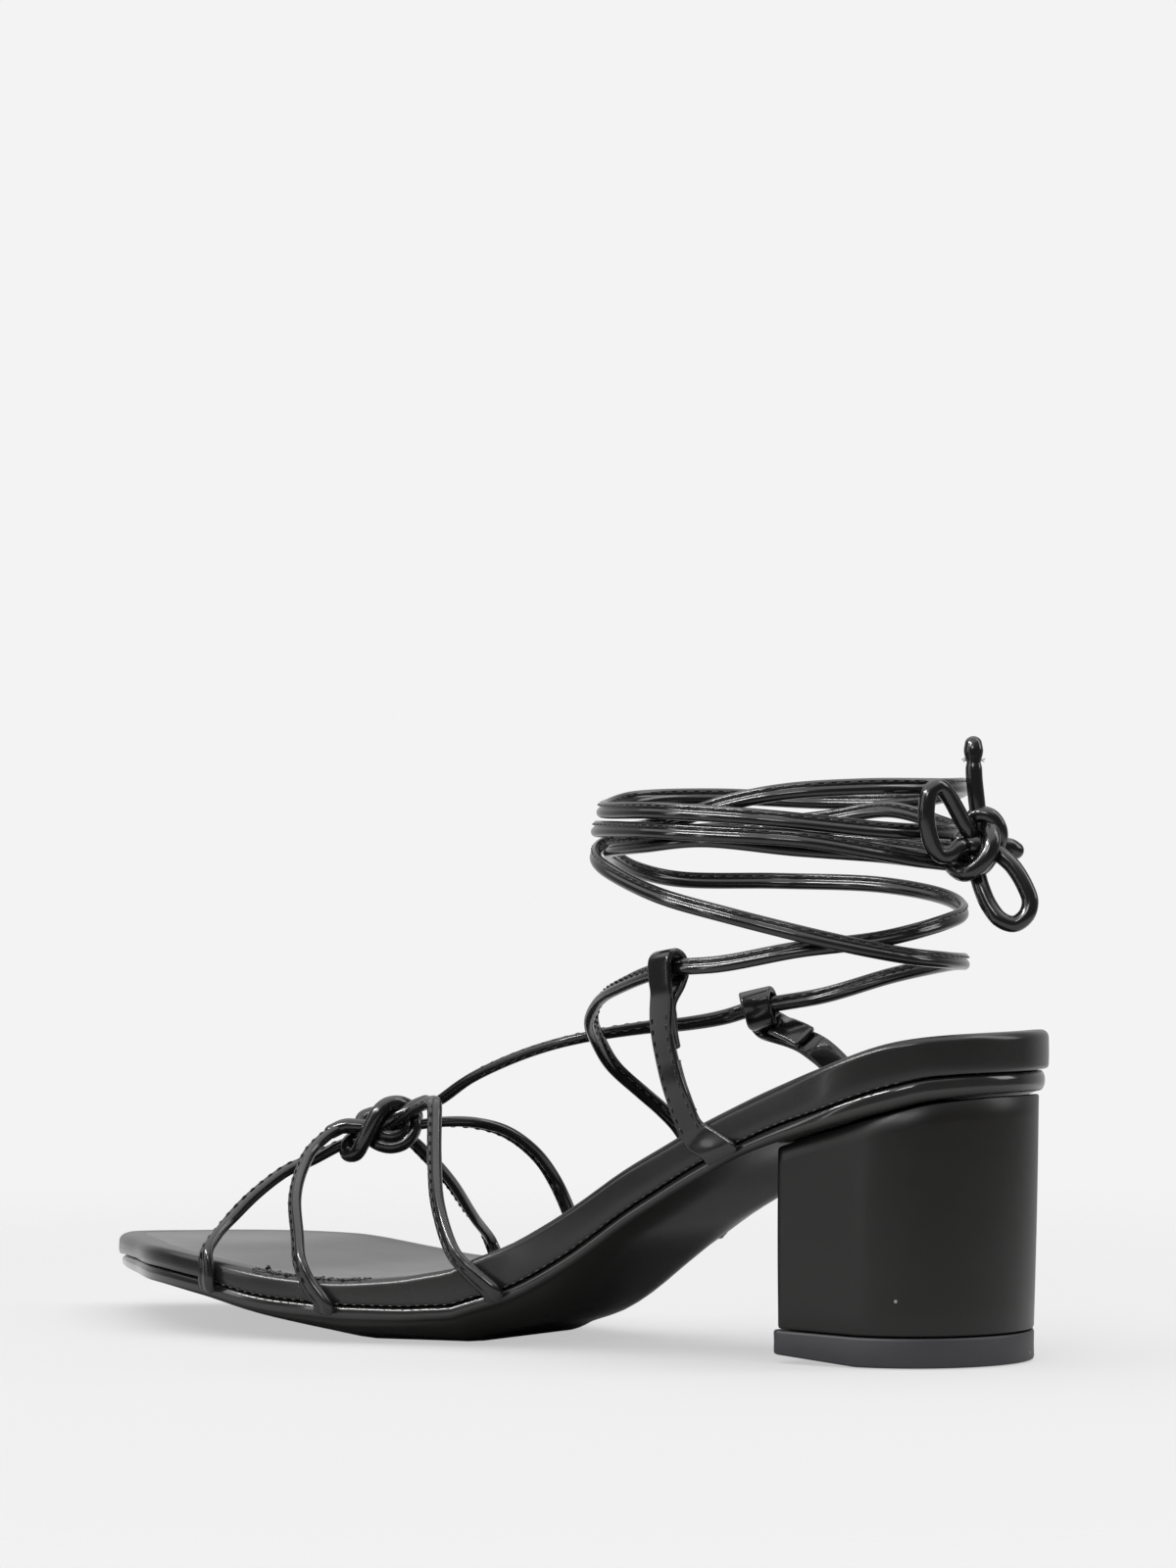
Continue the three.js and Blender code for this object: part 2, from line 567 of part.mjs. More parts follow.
// A section swept along a curve; sideAt gives the direction of the strap's width.
function sweep(curve, from, to, section, sideAt) {
  const steps = Math.max(2, Math.ceil(((to - from) * curve.getLength()) / STRAP_STEP));
  const rings = [];
  for (let i = 0; i <= steps; i += 1) {
    const share = from + ((to - from) * i) / steps;
    const middle = curve.getPointAt(share);
    const tangent = curve.getTangentAt(share);
    const side = sideAt(middle, tangent, share);
    side.addScaledVector(tangent, -side.dot(tangent)).normalize();
    const out = new THREE.Vector3().crossVectors(side, tangent);
    rings.push(section.map(([across, outward]) => middle.clone().addScaledVector(side, across).addScaledVector(out, outward)));
  }
  return shell(rings, 'fan');
}

function smoothCurve(points) {
  const curve = new THREE.CatmullRomCurve3(points, false, 'centripetal');
  curve.arcLengthDivisions = points.length * 40;
  return curve;
}

// The axis of the foot that wears the shoe, which the straps lie around.
const footAxis = smoothCurve([
  new THREE.Vector3(0.9 * LENGTH, -TOE_OFFSET, heightsAt(0.9 * LENGTH).top),
  new THREE.Vector3(0.62 * LENGTH, 0, heightsAt(0.62 * LENGTH).top + 0.2 * STRAP_RISE),
  new THREE.Vector3(0.42 * LENGTH, 0, heightsAt(0.42 * LENGTH).top + 0.3 * STRAP_RISE),
  new THREE.Vector3(ANKLE_PLACE + 6, 0, heightsAt(0).top),
  new THREE.Vector3(ANKLE_PLACE, 0, heightsAt(0).top + 0.5 * TIE_RISE),
  new THREE.Vector3(ANKLE_PLACE, 0, heightsAt(0).top + 2 * TIE_RISE),
]);
const footAxisPoints = footAxis.getSpacedPoints(60);

function outOfFoot(point) {
  const side = point.y > 0 ? 'left' : 'right';
  if (point.z < heightsAt(point.x).top + 1) {
    const share = shareOnSide(side, point.x / LENGTH);
    return outlineAt(share, 1).sub(outlineAt(share, 0));
  }
  let nearest = footAxisPoints[0];
  for (const candidate of footAxisPoints) {
    if (candidate.distanceToSquared(point) < nearest.distanceToSquared(point)) nearest = candidate;
  }
  return point.clone().sub(nearest).normalize();
}

const sideOfStrap = (middle, tangent) => new THREE.Vector3().crossVectors(tangent, outOfFoot(middle));

function overSole({ along, across, up }) {
  const [x, y] = [along * LENGTH, across * BALL_WIDTH];
  return new THREE.Vector3(x, y, heightsAt(x, y).groove + up * STRAP_RISE);
}

// Direction of the groove's line at a point of the outline, towards the toe.
function grooveDirection(share) {
  const tangent = outline.getTangent(share);
  const x = outline.getPoint(share).x;
  const slope = (heightsAt(x + 1).groove - heightsAt(x - 1).groove) / 2;
  const direction = new THREE.Vector3(tangent.x, tangent.y, slope * tangent.x).normalize();
  return direction.x < 0 ? direction.negate() : direction;
}

// Two points of a strap's end: in the groove, and up the footbed's wall, square
// to the groove or slanted towards the toe.
function strapFoot(side, along, thickness, slant = 0) {
  const share = shareOnSide(side, along);
  const direction = grooveDirection(share);
  const square = new THREE.Vector3(0, 0, 1).addScaledVector(direction, -direction.z).normalize();
  const low = outlineAt(share, thickness / 2 + FIT_GAP + 0.1);
  const { groove, top } = heightsAt(low.x, low.y);
  low.z = groove;
  low.addScaledVector(square, FIT_GAP + 0.05);
  const high = low.clone().addScaledVector(square, (top - groove) * 0.75).addScaledVector(direction, slant);
  high.y += side === 'left' ? 0.2 : -0.2;
  return [low, high];
}

function aroundAnkle({ turn, up, out }) {
  const angle = THREE.MathUtils.degToRad(turn);
  const outward = (out + 0.5) * STRAP_THICKNESS;
  return new THREE.Vector3(
    ANKLE_PLACE + (ANKLE_LENGTH / 2 + outward) * Math.cos(angle),
    (ANKLE_WIDTH / 2 + outward) * Math.sin(angle),
    heightsAt(0).top + up * TIE_RISE,
  );
}

// Solids joined into one

function solidFrom(geometry) {
  const bare = new THREE.BufferGeometry();
  bare.setAttribute('position', geometry.getAttribute('position').clone());
  bare.setIndex(geometry.getIndex() ? geometry.getIndex().clone() : null);
  const merged = mergeVertices(bare, 1e-5);
  return new wasm.Manifold(new wasm.Mesh({
    numProp: 3,
    vertProperties: Float32Array.from(merged.getAttribute('position').array),
    triVerts: Uint32Array.from(merged.getIndex().array),
  }));
}

function join(geometries) {
  let solid = solidFrom(geometries[0]);
  for (const geometry of geometries.slice(1)) solid = solid.add(solidFrom(geometry));
  // Slivers and closed pockets left between joined stretches are no part of the piece.
  const bodies = solid.decompose().sort((a, b) => b.volume() - a.volume());
  const single = bodies.slice(1).every((body) => body.volume() < 0.001);
  const mesh = (single ? bodies[0] : solid).getMesh();
  const joined = new THREE.BufferGeometry();
  joined.setAttribute('position', new THREE.BufferAttribute(Float32Array.from(mesh.vertProperties), 3));
  joined.setIndex(new THREE.BufferAttribute(Uint32Array.from(mesh.triVerts), 1));
  joined.computeVertexNormals();
  return joined;
}

// A long strap as overlapping stretches, so that it may cross itself.
function strapStretches(curve, section, sideAt, stretchLength) {
  const count = Math.max(1, Math.ceil(curve.getLength() / stretchLength));
  const overlap = 1.5 / curve.getLength();
  const stretches = [];
  for (let i = 0; i < count; i += 1) {
    const from = Math.max(0, i / count - (i > 0 ? overlap : 0));
    stretches.push(sweep(curve, from, (i + 1) / count, section, sideAt));
  }
  return stretches;
}

const vampKnot = overSole(VAMP_KNOT);

function vampStraps() {
  const section = strapSection(STRAP_WIDTH, STRAP_THICKNESS);
  const pieces = VAMP_STRAPS.map(({ side, foot, slant, route }) => {
    const points = [...strapFoot(side, foot, STRAP_THICKNESS, slant), ...route.map(overSole)];
    return sweep(smoothCurve(points), 0, 1, section, sideOfStrap);
  });
  for (const wrap of [FRONT_WRAP, REAR_WRAP]) {
    const points = wrap.map(({ along, across, up }) => vampKnot.clone().add(
      new THREE.Vector3(along, across, up).multiplyScalar(STRAP_WIDTH),
    ));
    const curve = smoothCurve(points);
    const around = (middle, tangent) => new THREE.Vector3().crossVectors(tangent, middle.clone().sub(vampKnot));
    const steps = Math.ceil(curve.getLength() / (STRAP_STEP * 0.45));
    for (let i = 0; i < steps; i += 2) {
      pieces.push(sweep(curve, i / steps, Math.min(1, (i + 2.4) / steps), section, around));
    }
  }
  return join(pieces);
}

const bowKnot = new THREE.Vector3(
  ANKLE_PLACE - ANKLE_LENGTH / 2 - BOW_STANDOFF,
  BOW_SIDE,
  heightsAt(0).top + BOW_RISE,
);
const fromBowKnot = (offset) => bowKnot.clone().add(new THREE.Vector3(...offset));

const outerTie = smoothCurve([
  ...OUTER_TIE_START.map(overSole),
  aroundAnkle(OUTER_TIE_LOOP),
  ...OUTER_TIE_WINDINGS.map(aroundAnkle),
  fromBowKnot(OUTER_TIE_END),
]);
const innerTie = smoothCurve([
  ...strapFoot('right', INNER_TIE_FOOT, STRAP_THICKNESS),
  ...INNER_TIE_START.map(overSole),
  aroundAnkle(INNER_TIE_LOOP),
  ...INNER_TIE_WINDINGS.map(aroundAnkle),
  fromBowKnot(INNER_TIE_END),
]);

function ankleTies() {
  const section = strapSection(STRAP_WIDTH, STRAP_THICKNESS);
  const halfTurn = (ANKLE_LENGTH + ANKLE_WIDTH) * 0.7;
  return join([
    ...strapStretches(outerTie, section, sideOfStrap, halfTurn),
    ...strapStretches(innerTie, section, sideOfStrap, halfTurn),
  ]);
}

// A stay rises from the groove, folds over its tie and runs back down inside.
function stay(side, foot, slant, bulges, tie, loop) {
  const sign = side === 'left' ? 1 : -1;
  const share = shareOnSide(side, foot);
  const [low, high] = strapFoot(side, foot, STAY_THICKNESS, slant);
  const crossing = aroundAnkle(loop);
  let best = 0;
  for (let i = 0; i <= 2000; i += 1) {
    if (tie.getPoint(i / 2000).distanceTo(crossing) < tie.getPoint(best).distanceTo(crossing)) best = i / 2000;
  }
  const along = tie.getTangent(best);
  const way = crossing.clone().sub(low);
  const reach = way.length();
  const rising = bulges.map(({ share: part, forward, out }) => low.clone()
    .addScaledVector(way, part)
    .add(new THREE.Vector3(forward * reach, sign * out * reach, 0)));
  const out = outOfFoot(crossing);
  out.addScaledVector(along, -out.dot(along)).normalize();
  const up = new THREE.Vector3().crossVectors(along, out);
  if (up.z < 0) up.negate();
  const reachOut = STRAP_THICKNESS / 2 + FIT_GAP + STAY_THICKNESS / 2 + FOLD_CLEARANCE;
  const reachUp = STRAP_WIDTH / 2 + FIT_GAP + STAY_THICKNESS / 2 + FOLD_CLEARANCE;
  const at = (o, u) => crossing.clone().addScaledVector(out, o).addScaledVector(up, u);
  const fold = [
    at(reachOut, -reachUp * 1.7), at(reachOut, -reachUp * 0.4), at(reachOut * 0.75, reachUp * 0.75), at(0, reachUp),
    at(-reachOut * 0.75, reachUp * 0.75), at(-reachOut, -reachUp * 0.2), at(-reachOut * 0.6, -reachUp),
    at(reachOut - STAY_THICKNESS * 0.85, -reachUp * 1.7),
  ];
  const footSide = grooveDirection(share);
  if (footSide.dot(along) < 0) along.negate();
  const frameAt = (curve, place) => {
    const middle = curve.getPointAt(place);
    const tangent = curve.getTangentAt(place);
    const part = THREE.MathUtils.clamp((middle.z - low.z) / (crossing.z - low.z), 0, 1);
    const across = footSide.clone().lerp(along, THREE.MathUtils.smoothstep(part, 0, 0.8));
    across.addScaledVector(tangent, -across.dot(tangent)).normalize();
    return { middle, across, outward: new THREE.Vector3().crossVectors(across, tangent) };
  };
  const section = bandSection(STAY_WIDTH, STAY_THICKNESS);
  const band = (curve, step) => {
    const steps = Math.max(2, Math.ceil(curve.getLength() / step));
    const rings = [];
    for (let i = 0; i <= steps; i += 1) {
      const { middle, across, outward } = frameAt(curve, i / steps);
      rings.push(section.map(([a, o]) => middle.clone().addScaledVector(across, a).addScaledVector(outward, o)));
    }
    return shell(rings, 'fan');
  };
  const rise = smoothCurve([low, high, ...rising, fold[0]]);
  const tab = [0.3, 0.6].map((part) => {
    const { middle, outward } = frameAt(rise, 1 - (part * STAY_TAB) / rise.getLength());
    if (outward.y * sign > 0) outward.negate();
    return middle.addScaledVector(outward, STAY_THICKNESS * 0.85);
  });
  const outer = smoothCurve([low, high, ...rising, ...fold.slice(0, 4)]);
  const inner = smoothCurve([...fold.slice(2), ...tab]);
  return join([band(outer, 2.2), band(inner, 1.4)]);
}

// Bow

function bowCord(points) {
  const curve = smoothCurve(points.map(fromBowKnot));
  const section = new THREE.Shape();
  for (let i = 0; i < 8; i += 1) {
    const angle = (i / 8) * Math.PI * 2;
    const corner = [Math.cos(angle) * (TIE_DIAMETER / 2), Math.sin(angle) * (TIE_DIAMETER / 2)];
    if (i === 0) section.moveTo(...corner);
    else section.lineTo(...corner);
  }
  section.closePath();
  return new THREE.ExtrudeGeometry(section, {
    steps: Math.max(3, Math.ceil(curve.getLength() / (TIE_DIAMETER * 0.7))),
    extrudePath: curve,
    bevelEnabled: false,
  });
}

function bowKnotBody() {
  const geometry = new THREE.SphereGeometry(KNOT_SIZE / 2, 12, 8);
  geometry.scale(0.85, 1, 1);
  geometry.translate(bowKnot.x, bowKnot.y, bowKnot.z);
  return geometry;
}

// The shoe

const sandal = new THREE.Group();
const extent = new THREE.Box3();

function add(name, geometry, material) {
  const mesh = new THREE.Mesh(geometry, material);
  mesh.name = name;
  sandal.add(mesh);
  return mesh;
}

// A piece that counts towards the middle of the shoe; the bow hangs free.
function addFixed(name, geometry, material) {
  extent.expandByObject(add(name, geometry, material));
}

addFixed('outsole', outsole(), soleRubber);
addFixed('footbed', footbed(), lining);
addFixed('heel_block', heelBlock(), heelCover);
addFixed('top_piece', topPiece(), treadRubber);
addFixed('vamp_straps', vampStraps(), leather);
addFixed('ankle_ties', ankleTies(), leather);
addFixed('stay_left', stay('left', LEFT_STAY_FOOT, LEFT_STAY_SLANT, LEFT_STAY, innerTie, INNER_TIE_LOOP), leather);
addFixed('stay_right', stay('right', RIGHT_STAY_FOOT, RIGHT_STAY_SLANT, RIGHT_STAY, outerTie, OUTER_TIE_LOOP), leather);
add('bow_knot', bowKnotBody(), leather);
add('bow_loop_upper', bowCord(BOW_LOOP_UPPER), leather);
add('bow_loop_lower', bowCord(BOW_LOOP_LOWER), leather);
add('tie_end_upper', bowCord(TIE_END_UPPER), leather);
add('tie_end_lower', bowCord(TIE_END_LOWER), leather);

const middle = extent.getCenter(new THREE.Vector3());
for (const mesh of sandal.children) mesh.position.set(-middle.x, -middle.y, 0);

export default sandal;
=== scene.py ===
import math

import bpy
import bmesh
import numpy as np
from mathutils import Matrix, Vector


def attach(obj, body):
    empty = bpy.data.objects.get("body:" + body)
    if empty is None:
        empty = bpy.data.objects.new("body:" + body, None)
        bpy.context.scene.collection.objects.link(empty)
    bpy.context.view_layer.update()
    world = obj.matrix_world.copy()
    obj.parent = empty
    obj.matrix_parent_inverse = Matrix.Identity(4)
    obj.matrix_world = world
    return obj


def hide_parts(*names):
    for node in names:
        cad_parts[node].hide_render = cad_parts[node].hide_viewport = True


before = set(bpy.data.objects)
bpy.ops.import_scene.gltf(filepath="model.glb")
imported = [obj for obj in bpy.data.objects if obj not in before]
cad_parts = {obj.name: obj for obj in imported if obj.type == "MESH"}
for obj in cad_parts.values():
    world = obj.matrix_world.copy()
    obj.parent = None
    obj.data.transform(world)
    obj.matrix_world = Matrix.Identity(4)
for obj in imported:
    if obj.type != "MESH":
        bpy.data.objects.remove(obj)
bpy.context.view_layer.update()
print("frame loaded")

mm = 0.001  # all shapes are worked out in millimetres and scaled when the mesh is made
shoeShift = np.array([-112.7, -1.69, 0.0])  # from the back of the seat to the origin


# Camera, floor and light

cameraValues = {
    "place": (-0.74535, 1.06321, 0.11168),
    "heading": 35.0,  # degrees that the lens is turned from -Y towards +X
    "focalPixels": 6705.2,
    "pictureHeight": 1600,
    "sensor": 36.0,
    "shift": (0.03344, -0.00858),
    "clip": (0.05, 50),
}


def makeCamera(values):
    data = bpy.data.cameras.new("photoCamera")
    data.sensor_fit = "VERTICAL"
    data.sensor_width = data.sensor_height = values["sensor"]
    data.lens = values["focalPixels"] / values["pictureHeight"] * values["sensor"]
    data.shift_x, data.shift_y = values["shift"]
    data.clip_start, data.clip_end = values["clip"]
    camera = bpy.data.objects.new("photoCamera", data)
    heading = math.radians(values["heading"])
    forward = Vector((math.sin(heading), -math.cos(heading), 0))
    camera.location = values["place"]
    camera.rotation_mode = "QUATERNION"
    camera.rotation_quaternion = forward.to_track_quat("-Z", "Y")
    bpy.context.collection.objects.link(camera)
    bpy.context.scene.camera = camera
    return forward


viewForward = makeCamera(cameraValues)

stageValues = {
    "pale": (0.896, 0.896, 0.896),
    "floorRadius": 3.0,
    "floorDrop": 0.0002,  # just under the sole
    "floorFade": (0.2, 0.5),  # distances in metres between which the paper fades into the background
    "floorColour": 0.7,
    "floorSeen": 0.318,  # what the camera sees: a share of the light on the paper, lifted by an even tone
    "floorLift": 0.5,
    "worldBack": 0.55,  # what gloss sees behind the shoe
    "worldFront": 0.125,  # what gloss sees behind the camera
    "worldTop": 0.8,
    "backStart": (0.3, 0.95),  # shares of the way round to the back between which it gets brighter
    "topStart": (0.35, 1.0),
}


def linkNew(name, data):
    obj = bpy.data.objects.new(name, data)
    bpy.context.collection.objects.link(obj)
    return obj


def addNode(tree, kind, values=None, links=None, **settings):
    # one node: its settings, its inputs' values and what feeds them; gives its outputs
    node = tree.nodes.new("ShaderNode" + kind)
    for name, value in settings.items():
        setattr(node, name, value)
    for socket, value in (values or {}).items():
        node.inputs[socket].default_value = value
    for socket, source in (links or {}).items():
        tree.links.new(source, node.inputs[socket])
    return node.outputs


def mapRange(tree, source, wanted, given=(0.0, 1.0), **settings):
    # the source's range "wanted" becomes the range "given"
    values = {"From Min": wanted[0], "From Max": wanted[1], "To Min": given[0], "To Max": given[1]}
    return addNode(tree, "MapRange", values, {"Value": source}, **settings)["Result"]


def mixForLens(tree, others, lens):
    # one shader for what the camera sees itself, another for all other rays
    toLens = addNode(tree, "LightPath")["Is Camera Ray"]
    return addNode(tree, "MixShader", None, {0: toLens, 1: others, 2: lens})[0]


def makeWorld(values):
    # gloss sees pale paper behind the shoe and overhead, and a dim room behind the camera
    world = bpy.data.worlds.new("studio")
    bpy.context.scene.world = world
    world.use_nodes = True
    tree = world.node_tree
    tree.nodes.clear()
    around = addNode(tree, "TexCoord")["Generated"]
    height = addNode(tree, "SeparateXYZ", None, {0: around})["Z"]
    along = addNode(tree, "VectorMath", {1: viewForward}, {0: around}, operation="DOT_PRODUCT")["Value"]
    level = mapRange(tree, along, values["backStart"], (values["worldFront"], values["worldBack"]))
    top = mapRange(tree, height, values["topStart"], (0.0, values["worldTop"]))
    total = addNode(tree, "Math", None, {0: level, 1: top}, operation="MAXIMUM")[0]
    seen = addNode(tree, "Background", {"Color": (*values["pale"], 1)})[0]
    lit = addNode(tree, "Background", {"Color": (1, 1, 1, 1)}, {"Strength": total})[0]
    addNode(tree, "OutputWorld", None, {"Surface": mixForLens(tree, lit, seen)})


def makeFloor(values):
    # round paper that fades out; the camera sees it lifted by an even tone
    mesh = bpy.data.meshes.new("floor")
    form = bmesh.new()
    bmesh.ops.create_circle(form, cap_ends=True, radius=values["floorRadius"], segments=96)
    form.to_mesh(mesh)
    form.free()
    floor = linkNew("floor", mesh)
    floor.location = (0, 0, -values["floorDrop"])
    material = bpy.data.materials.new("palePaper")
    material.use_nodes = True
    tree = material.node_tree
    tree.nodes.clear()
    place = addNode(tree, "TexCoord")["Object"]
    distance = addNode(tree, "VectorMath", None, {0: place}, operation="LENGTH")["Value"]
    fade = mapRange(tree, distance, values["floorFade"], interpolation_type="SMOOTHSTEP")
    paper, paperSeen = (addNode(tree, "BsdfDiffuse", {"Color": (*[values[share]] * 3, 1)})[0]
                        for share in ("floorColour", "floorSeen"))
    lift = addNode(tree, "Emission", {"Strength": values["floorLift"]})[0]
    lifted = addNode(tree, "AddShader", None, {0: paperSeen, 1: lift})[0]
    clear = addNode(tree, "BsdfTransparent")[0]
    mix = addNode(tree, "MixShader", None, {0: fade, 1: mixForLens(tree, paper, lifted), 2: clear})[0]
    addNode(tree, "OutputMaterial", None, {"Surface": mix})
    mesh.materials.append(material)


lightValues = {  # place, aim and size in metres, power in watts; those without shade only show in gloss
    "overhead": {"place": (0.1, 0.1, 1.1), "aim": (0, 0, 0), "size": (2.2, 2.2), "power": 13, "shade": True},
    "leftStrip": {"place": (0.75, 0.85, 0.5), "aim": (0.02, 0, 0.03), "size": (0.2, 0.9), "power": 1.7,
                  "shade": True},
    "backStrip": {"place": (-0.7, -0.5, 0.7), "aim": (-0.05, 0, 0.06), "size": (0.3, 0.9), "power": 3,
                  "shade": True},
    "front": {"place": (-0.5, 1.3, 0.9), "aim": (0, 0, 0.03), "size": (0.4, 0.25), "power": 3.2,
              "shade": True},
    "glossAbove": {"place": (0.3, 0.75, 0.8), "aim": (0, 0, 0.03), "size": (0.7, 0.05), "power": 9,
                   "shade": False},
    "glossTall": {"place": (0.45, 1.3, 0.35), "aim": (0, 0, 0.06), "size": (0.07, 1.2), "power": 1.3,
                  "shade": False},
}


def makeLights(lights):
    for name, values in lights.items():
        data = bpy.data.lights.new(name, "AREA")
        data.shape = "RECTANGLE"
        data.size, data.size_y = values["size"]
        data.energy = values["power"]
        lamp = linkNew(name, data)
        lamp.location = values["place"]
        aim = Vector(values["aim"]) - Vector(values["place"])
        lamp.rotation_mode = "QUATERNION"
        lamp.rotation_quaternion = aim.to_track_quat("-Z", "Y")
        lamp.visible_diffuse = values["shade"]


makeWorld(stageValues)
makeFloor(stageValues)
makeLights(lightValues)
bpy.context.scene.view_settings.view_transform = "Standard"
print("camera, floor and lights ready")


# Mesh and path tools

def gridQuads(rows, columns, closed):
    # quads of a rows x columns grid of points; closed joins the last column to the first
    r = np.arange(rows - 1)[:, None] * columns
    c = np.arange(columns if closed else columns - 1)[None, :]
    d = (c + 1) % columns
    quads = np.stack([r + c, r + d, r + columns + d, r + columns + c], -1)
    return quads.reshape(-1, 4)


def meshFrom(points, quads, finish, uv=None, caps=()):
    # one part of a piece: points in millimetres of the shoe's own tables, put into metres of the frame
    mesh = bpy.data.meshes.new("part")
    place = (np.asarray(points, float) + shoeShift) * mm
    capStarts = len(quads) * 4 + np.cumsum([0] + [len(cap) for cap in caps])[:-1]
    starts = np.concatenate([np.arange(len(quads)) * 4, capStarts])
    corners = np.concatenate([quads.ravel(), *caps])
    mesh.vertices.add(len(place))
    mesh.vertices.foreach_set("co", place.astype(np.float32).ravel())
    mesh.loops.add(len(corners))
    mesh.loops.foreach_set("vertex_index", corners.astype(np.int32))
    mesh.polygons.add(len(starts))
    mesh.polygons.foreach_set("loop_start", starts.astype(np.int32))
    mesh.update(calc_edges=True)
    mesh.validate()
    mesh.polygons.foreach_set("use_smooth", np.ones(len(mesh.polygons), bool))
    if uv is not None:
        layer = mesh.uv_layers.new(name="alongPiece")
        layer.data.foreach_set("uv", np.asarray(uv, np.float32)[corners].ravel())
    mesh.materials.append(finish)
    return linkNew("part", mesh)


def tubeMesh(grid, finish, uv=None):
    # rings of points, closed around and capped at both ends
    rows, columns = grid.shape[:2]
    caps = [np.arange(columns)[::-1], (rows - 1) * columns + np.arange(columns)]
    return meshFrom(grid.reshape(-1, 3), gridQuads(rows, columns, True), finish, uv, caps)


def makePiece(name, parts, slot, *nodes):
    # the parts become one piece, with close points merged and faces turned outwards
    form = bmesh.new()
    materials = []
    for part in parts:
        start = len(form.faces)
        form.from_mesh(part.data)
        form.faces.ensure_lookup_table()
        finish = part.data.materials[0]
        if finish not in materials:
            materials.append(finish)
        for face in form.faces[start:]:
            face.material_index = materials.index(finish)
    bmesh.ops.remove_doubles(form, verts=form.verts, dist=2e-6)
    bmesh.ops.recalc_face_normals(form, faces=form.faces)
    mesh = bpy.data.meshes.new(name)
    form.to_mesh(mesh)
    form.free()
    for finish in materials:
        mesh.materials.append(finish)
    for part in parts:
        old = part.data
        bpy.data.objects.remove(part)
        bpy.data.meshes.remove(old)
    piece = linkNew(name, mesh)
    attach(piece, "root")
    if nodes:
        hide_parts(*nodes)
    return piece


def unit(vectors):
    vectors = np.asarray(vectors, float)
    return vectors / np.maximum(np.linalg.norm(vectors, axis=-1, keepdims=True), 1e-9)


def spanCubics(p0, p1, p2, p3):
    # centripetal spline from p1 to p2: the factors of t, t^2 and t^3
    d0, d1, d2 = (np.sqrt(np.linalg.norm(b - a, axis=1, keepdims=True))
                  for a, b in ((p0, p1), (p1, p2), (p2, p3)))
    t1 = ((p1 - p0) / d0 - (p2 - p0) / (d0 + d1) + (p2 - p1) / d1) * d1
    t2 = ((p2 - p1) / d1 - (p3 - p1) / (d1 + d2) + (p3 - p2) / d2) * d1
    return t1, 3 * (p2 - p1) - 2 * t1 - t2, 2 * (p1 - p2) + t1 + t2


def runAlong(line):
    # length from the start to each point
    return np.concatenate([[0], np.cumsum(np.linalg.norm(np.diff(line, axis=0), axis=1))])


def pickAt(places, run, table):
    return np.stack([np.interp(places, run, table[:, k]) for k in range(3)], 1)


def splinePath(points, spacing=None, count=None, perSpan=24):
    # centripetal spline through the points: a cubic for each span, then even steps along it
    p = np.asarray(points, float)
    extended = np.vstack([2 * p[0] - p[1], p, 2 * p[-1] - p[-2]])
    c1, c2, c3 = spanCubics(extended[:-3], p[:-1], p[1:], extended[3:])
    t = (np.arange(perSpan) / perSpan)[None, :, None]
    line = p[:-1, None] + c1[:, None] * t + c2[:, None] * t ** 2 + c3[:, None] * t ** 3
    line = np.vstack([line.reshape(-1, 3), p[-1:]])
    run = runAlong(line)
    steps = count or max(3, int(np.ceil(run[-1] / spacing)) + 1)
    return pickAt(np.linspace(0, run[-1], steps), run, line)


def evenly(values, width):
    # running mean over an odd number of points, with the ends held
    if width < 3:
        return values
    half = width // 2
    padded = np.concatenate([np.repeat(values[:1], half, 0), values, np.repeat(values[-1:], half, 0)])
    sums = np.cumsum(np.concatenate([np.zeros_like(padded[:1]), padded]), 0)
    return (sums[2 * half + 1:] - sums[:-2 * half - 1]) / (2 * half + 1)


def squareTo(tangent, vectors):
    # the part of each vector that is square to the tangent, one long
    return unit(vectors - (vectors * tangent).sum(1, keepdims=True) * tangent)


def pathFrames(path, outward):
    # tangent, side and outward directions at each point; side x tangent is outward
    tangent = unit(np.gradient(path, axis=0))
    side = squareTo(tangent, np.cross(tangent, outward))
    return tangent, side, np.cross(side, tangent)


def carryProfile(path, outward, profile, finish, grow=None, spread=None, footSide=None):
    # each profile point is carried along the path: place = path + across * side + out * outward; grow
    # scales both and spread only the first; footSide is a direction and the share of it at each point,
    # which lays the profile along the groove; the ends shrink over half a thickness as a quarter circle
    tangent, side, out = pathFrames(path, outward)
    profile = np.asarray(profile, float)
    if footSide is not None:
        direction, amount = footSide
        direction = direction if side[0].dot(direction) > 0 else -direction
        side = unit(side * (1 - amount[:, None]) + direction * amount[:, None])
    if spread is not None:
        side = side * spread[:, None]
    turn = np.linspace(0, np.pi / 2, 5)[1:]
    steps = np.sin(turn)[:, None] * np.abs(profile[:, 1]).max()
    shrink = np.maximum(np.cos(turn), 0.02)
    scale = np.ones(len(path)) if grow is None else grow
    centres = np.vstack([path[0] - tangent[0] * steps[::-1], path, path[-1] + tangent[-1] * steps])
    scales = np.concatenate([scale[0] * shrink[::-1], scale, scale[-1] * shrink])[:, None, None]
    sides, outs = (np.pad(table, ((len(turn), len(turn)), (0, 0)), "edge")[:, None] for table in (side, out))
    grid = centres[:, None] + scales * (sides * profile[None, :, :1] + outs * profile[None, :, 1:])
    around = np.arange(len(profile))[None, :] / len(profile)
    uv = np.stack(np.broadcast_arrays(runAlong(centres)[:, None] * mm, around), -1).reshape(-1, 2)
    return tubeMesh(grid, finish, uv)


def tubeProfile(radius, sides=18):
    angle = np.arange(sides) / sides * 2 * np.pi
    return np.stack([np.cos(angle), np.sin(angle)], 1) * radius


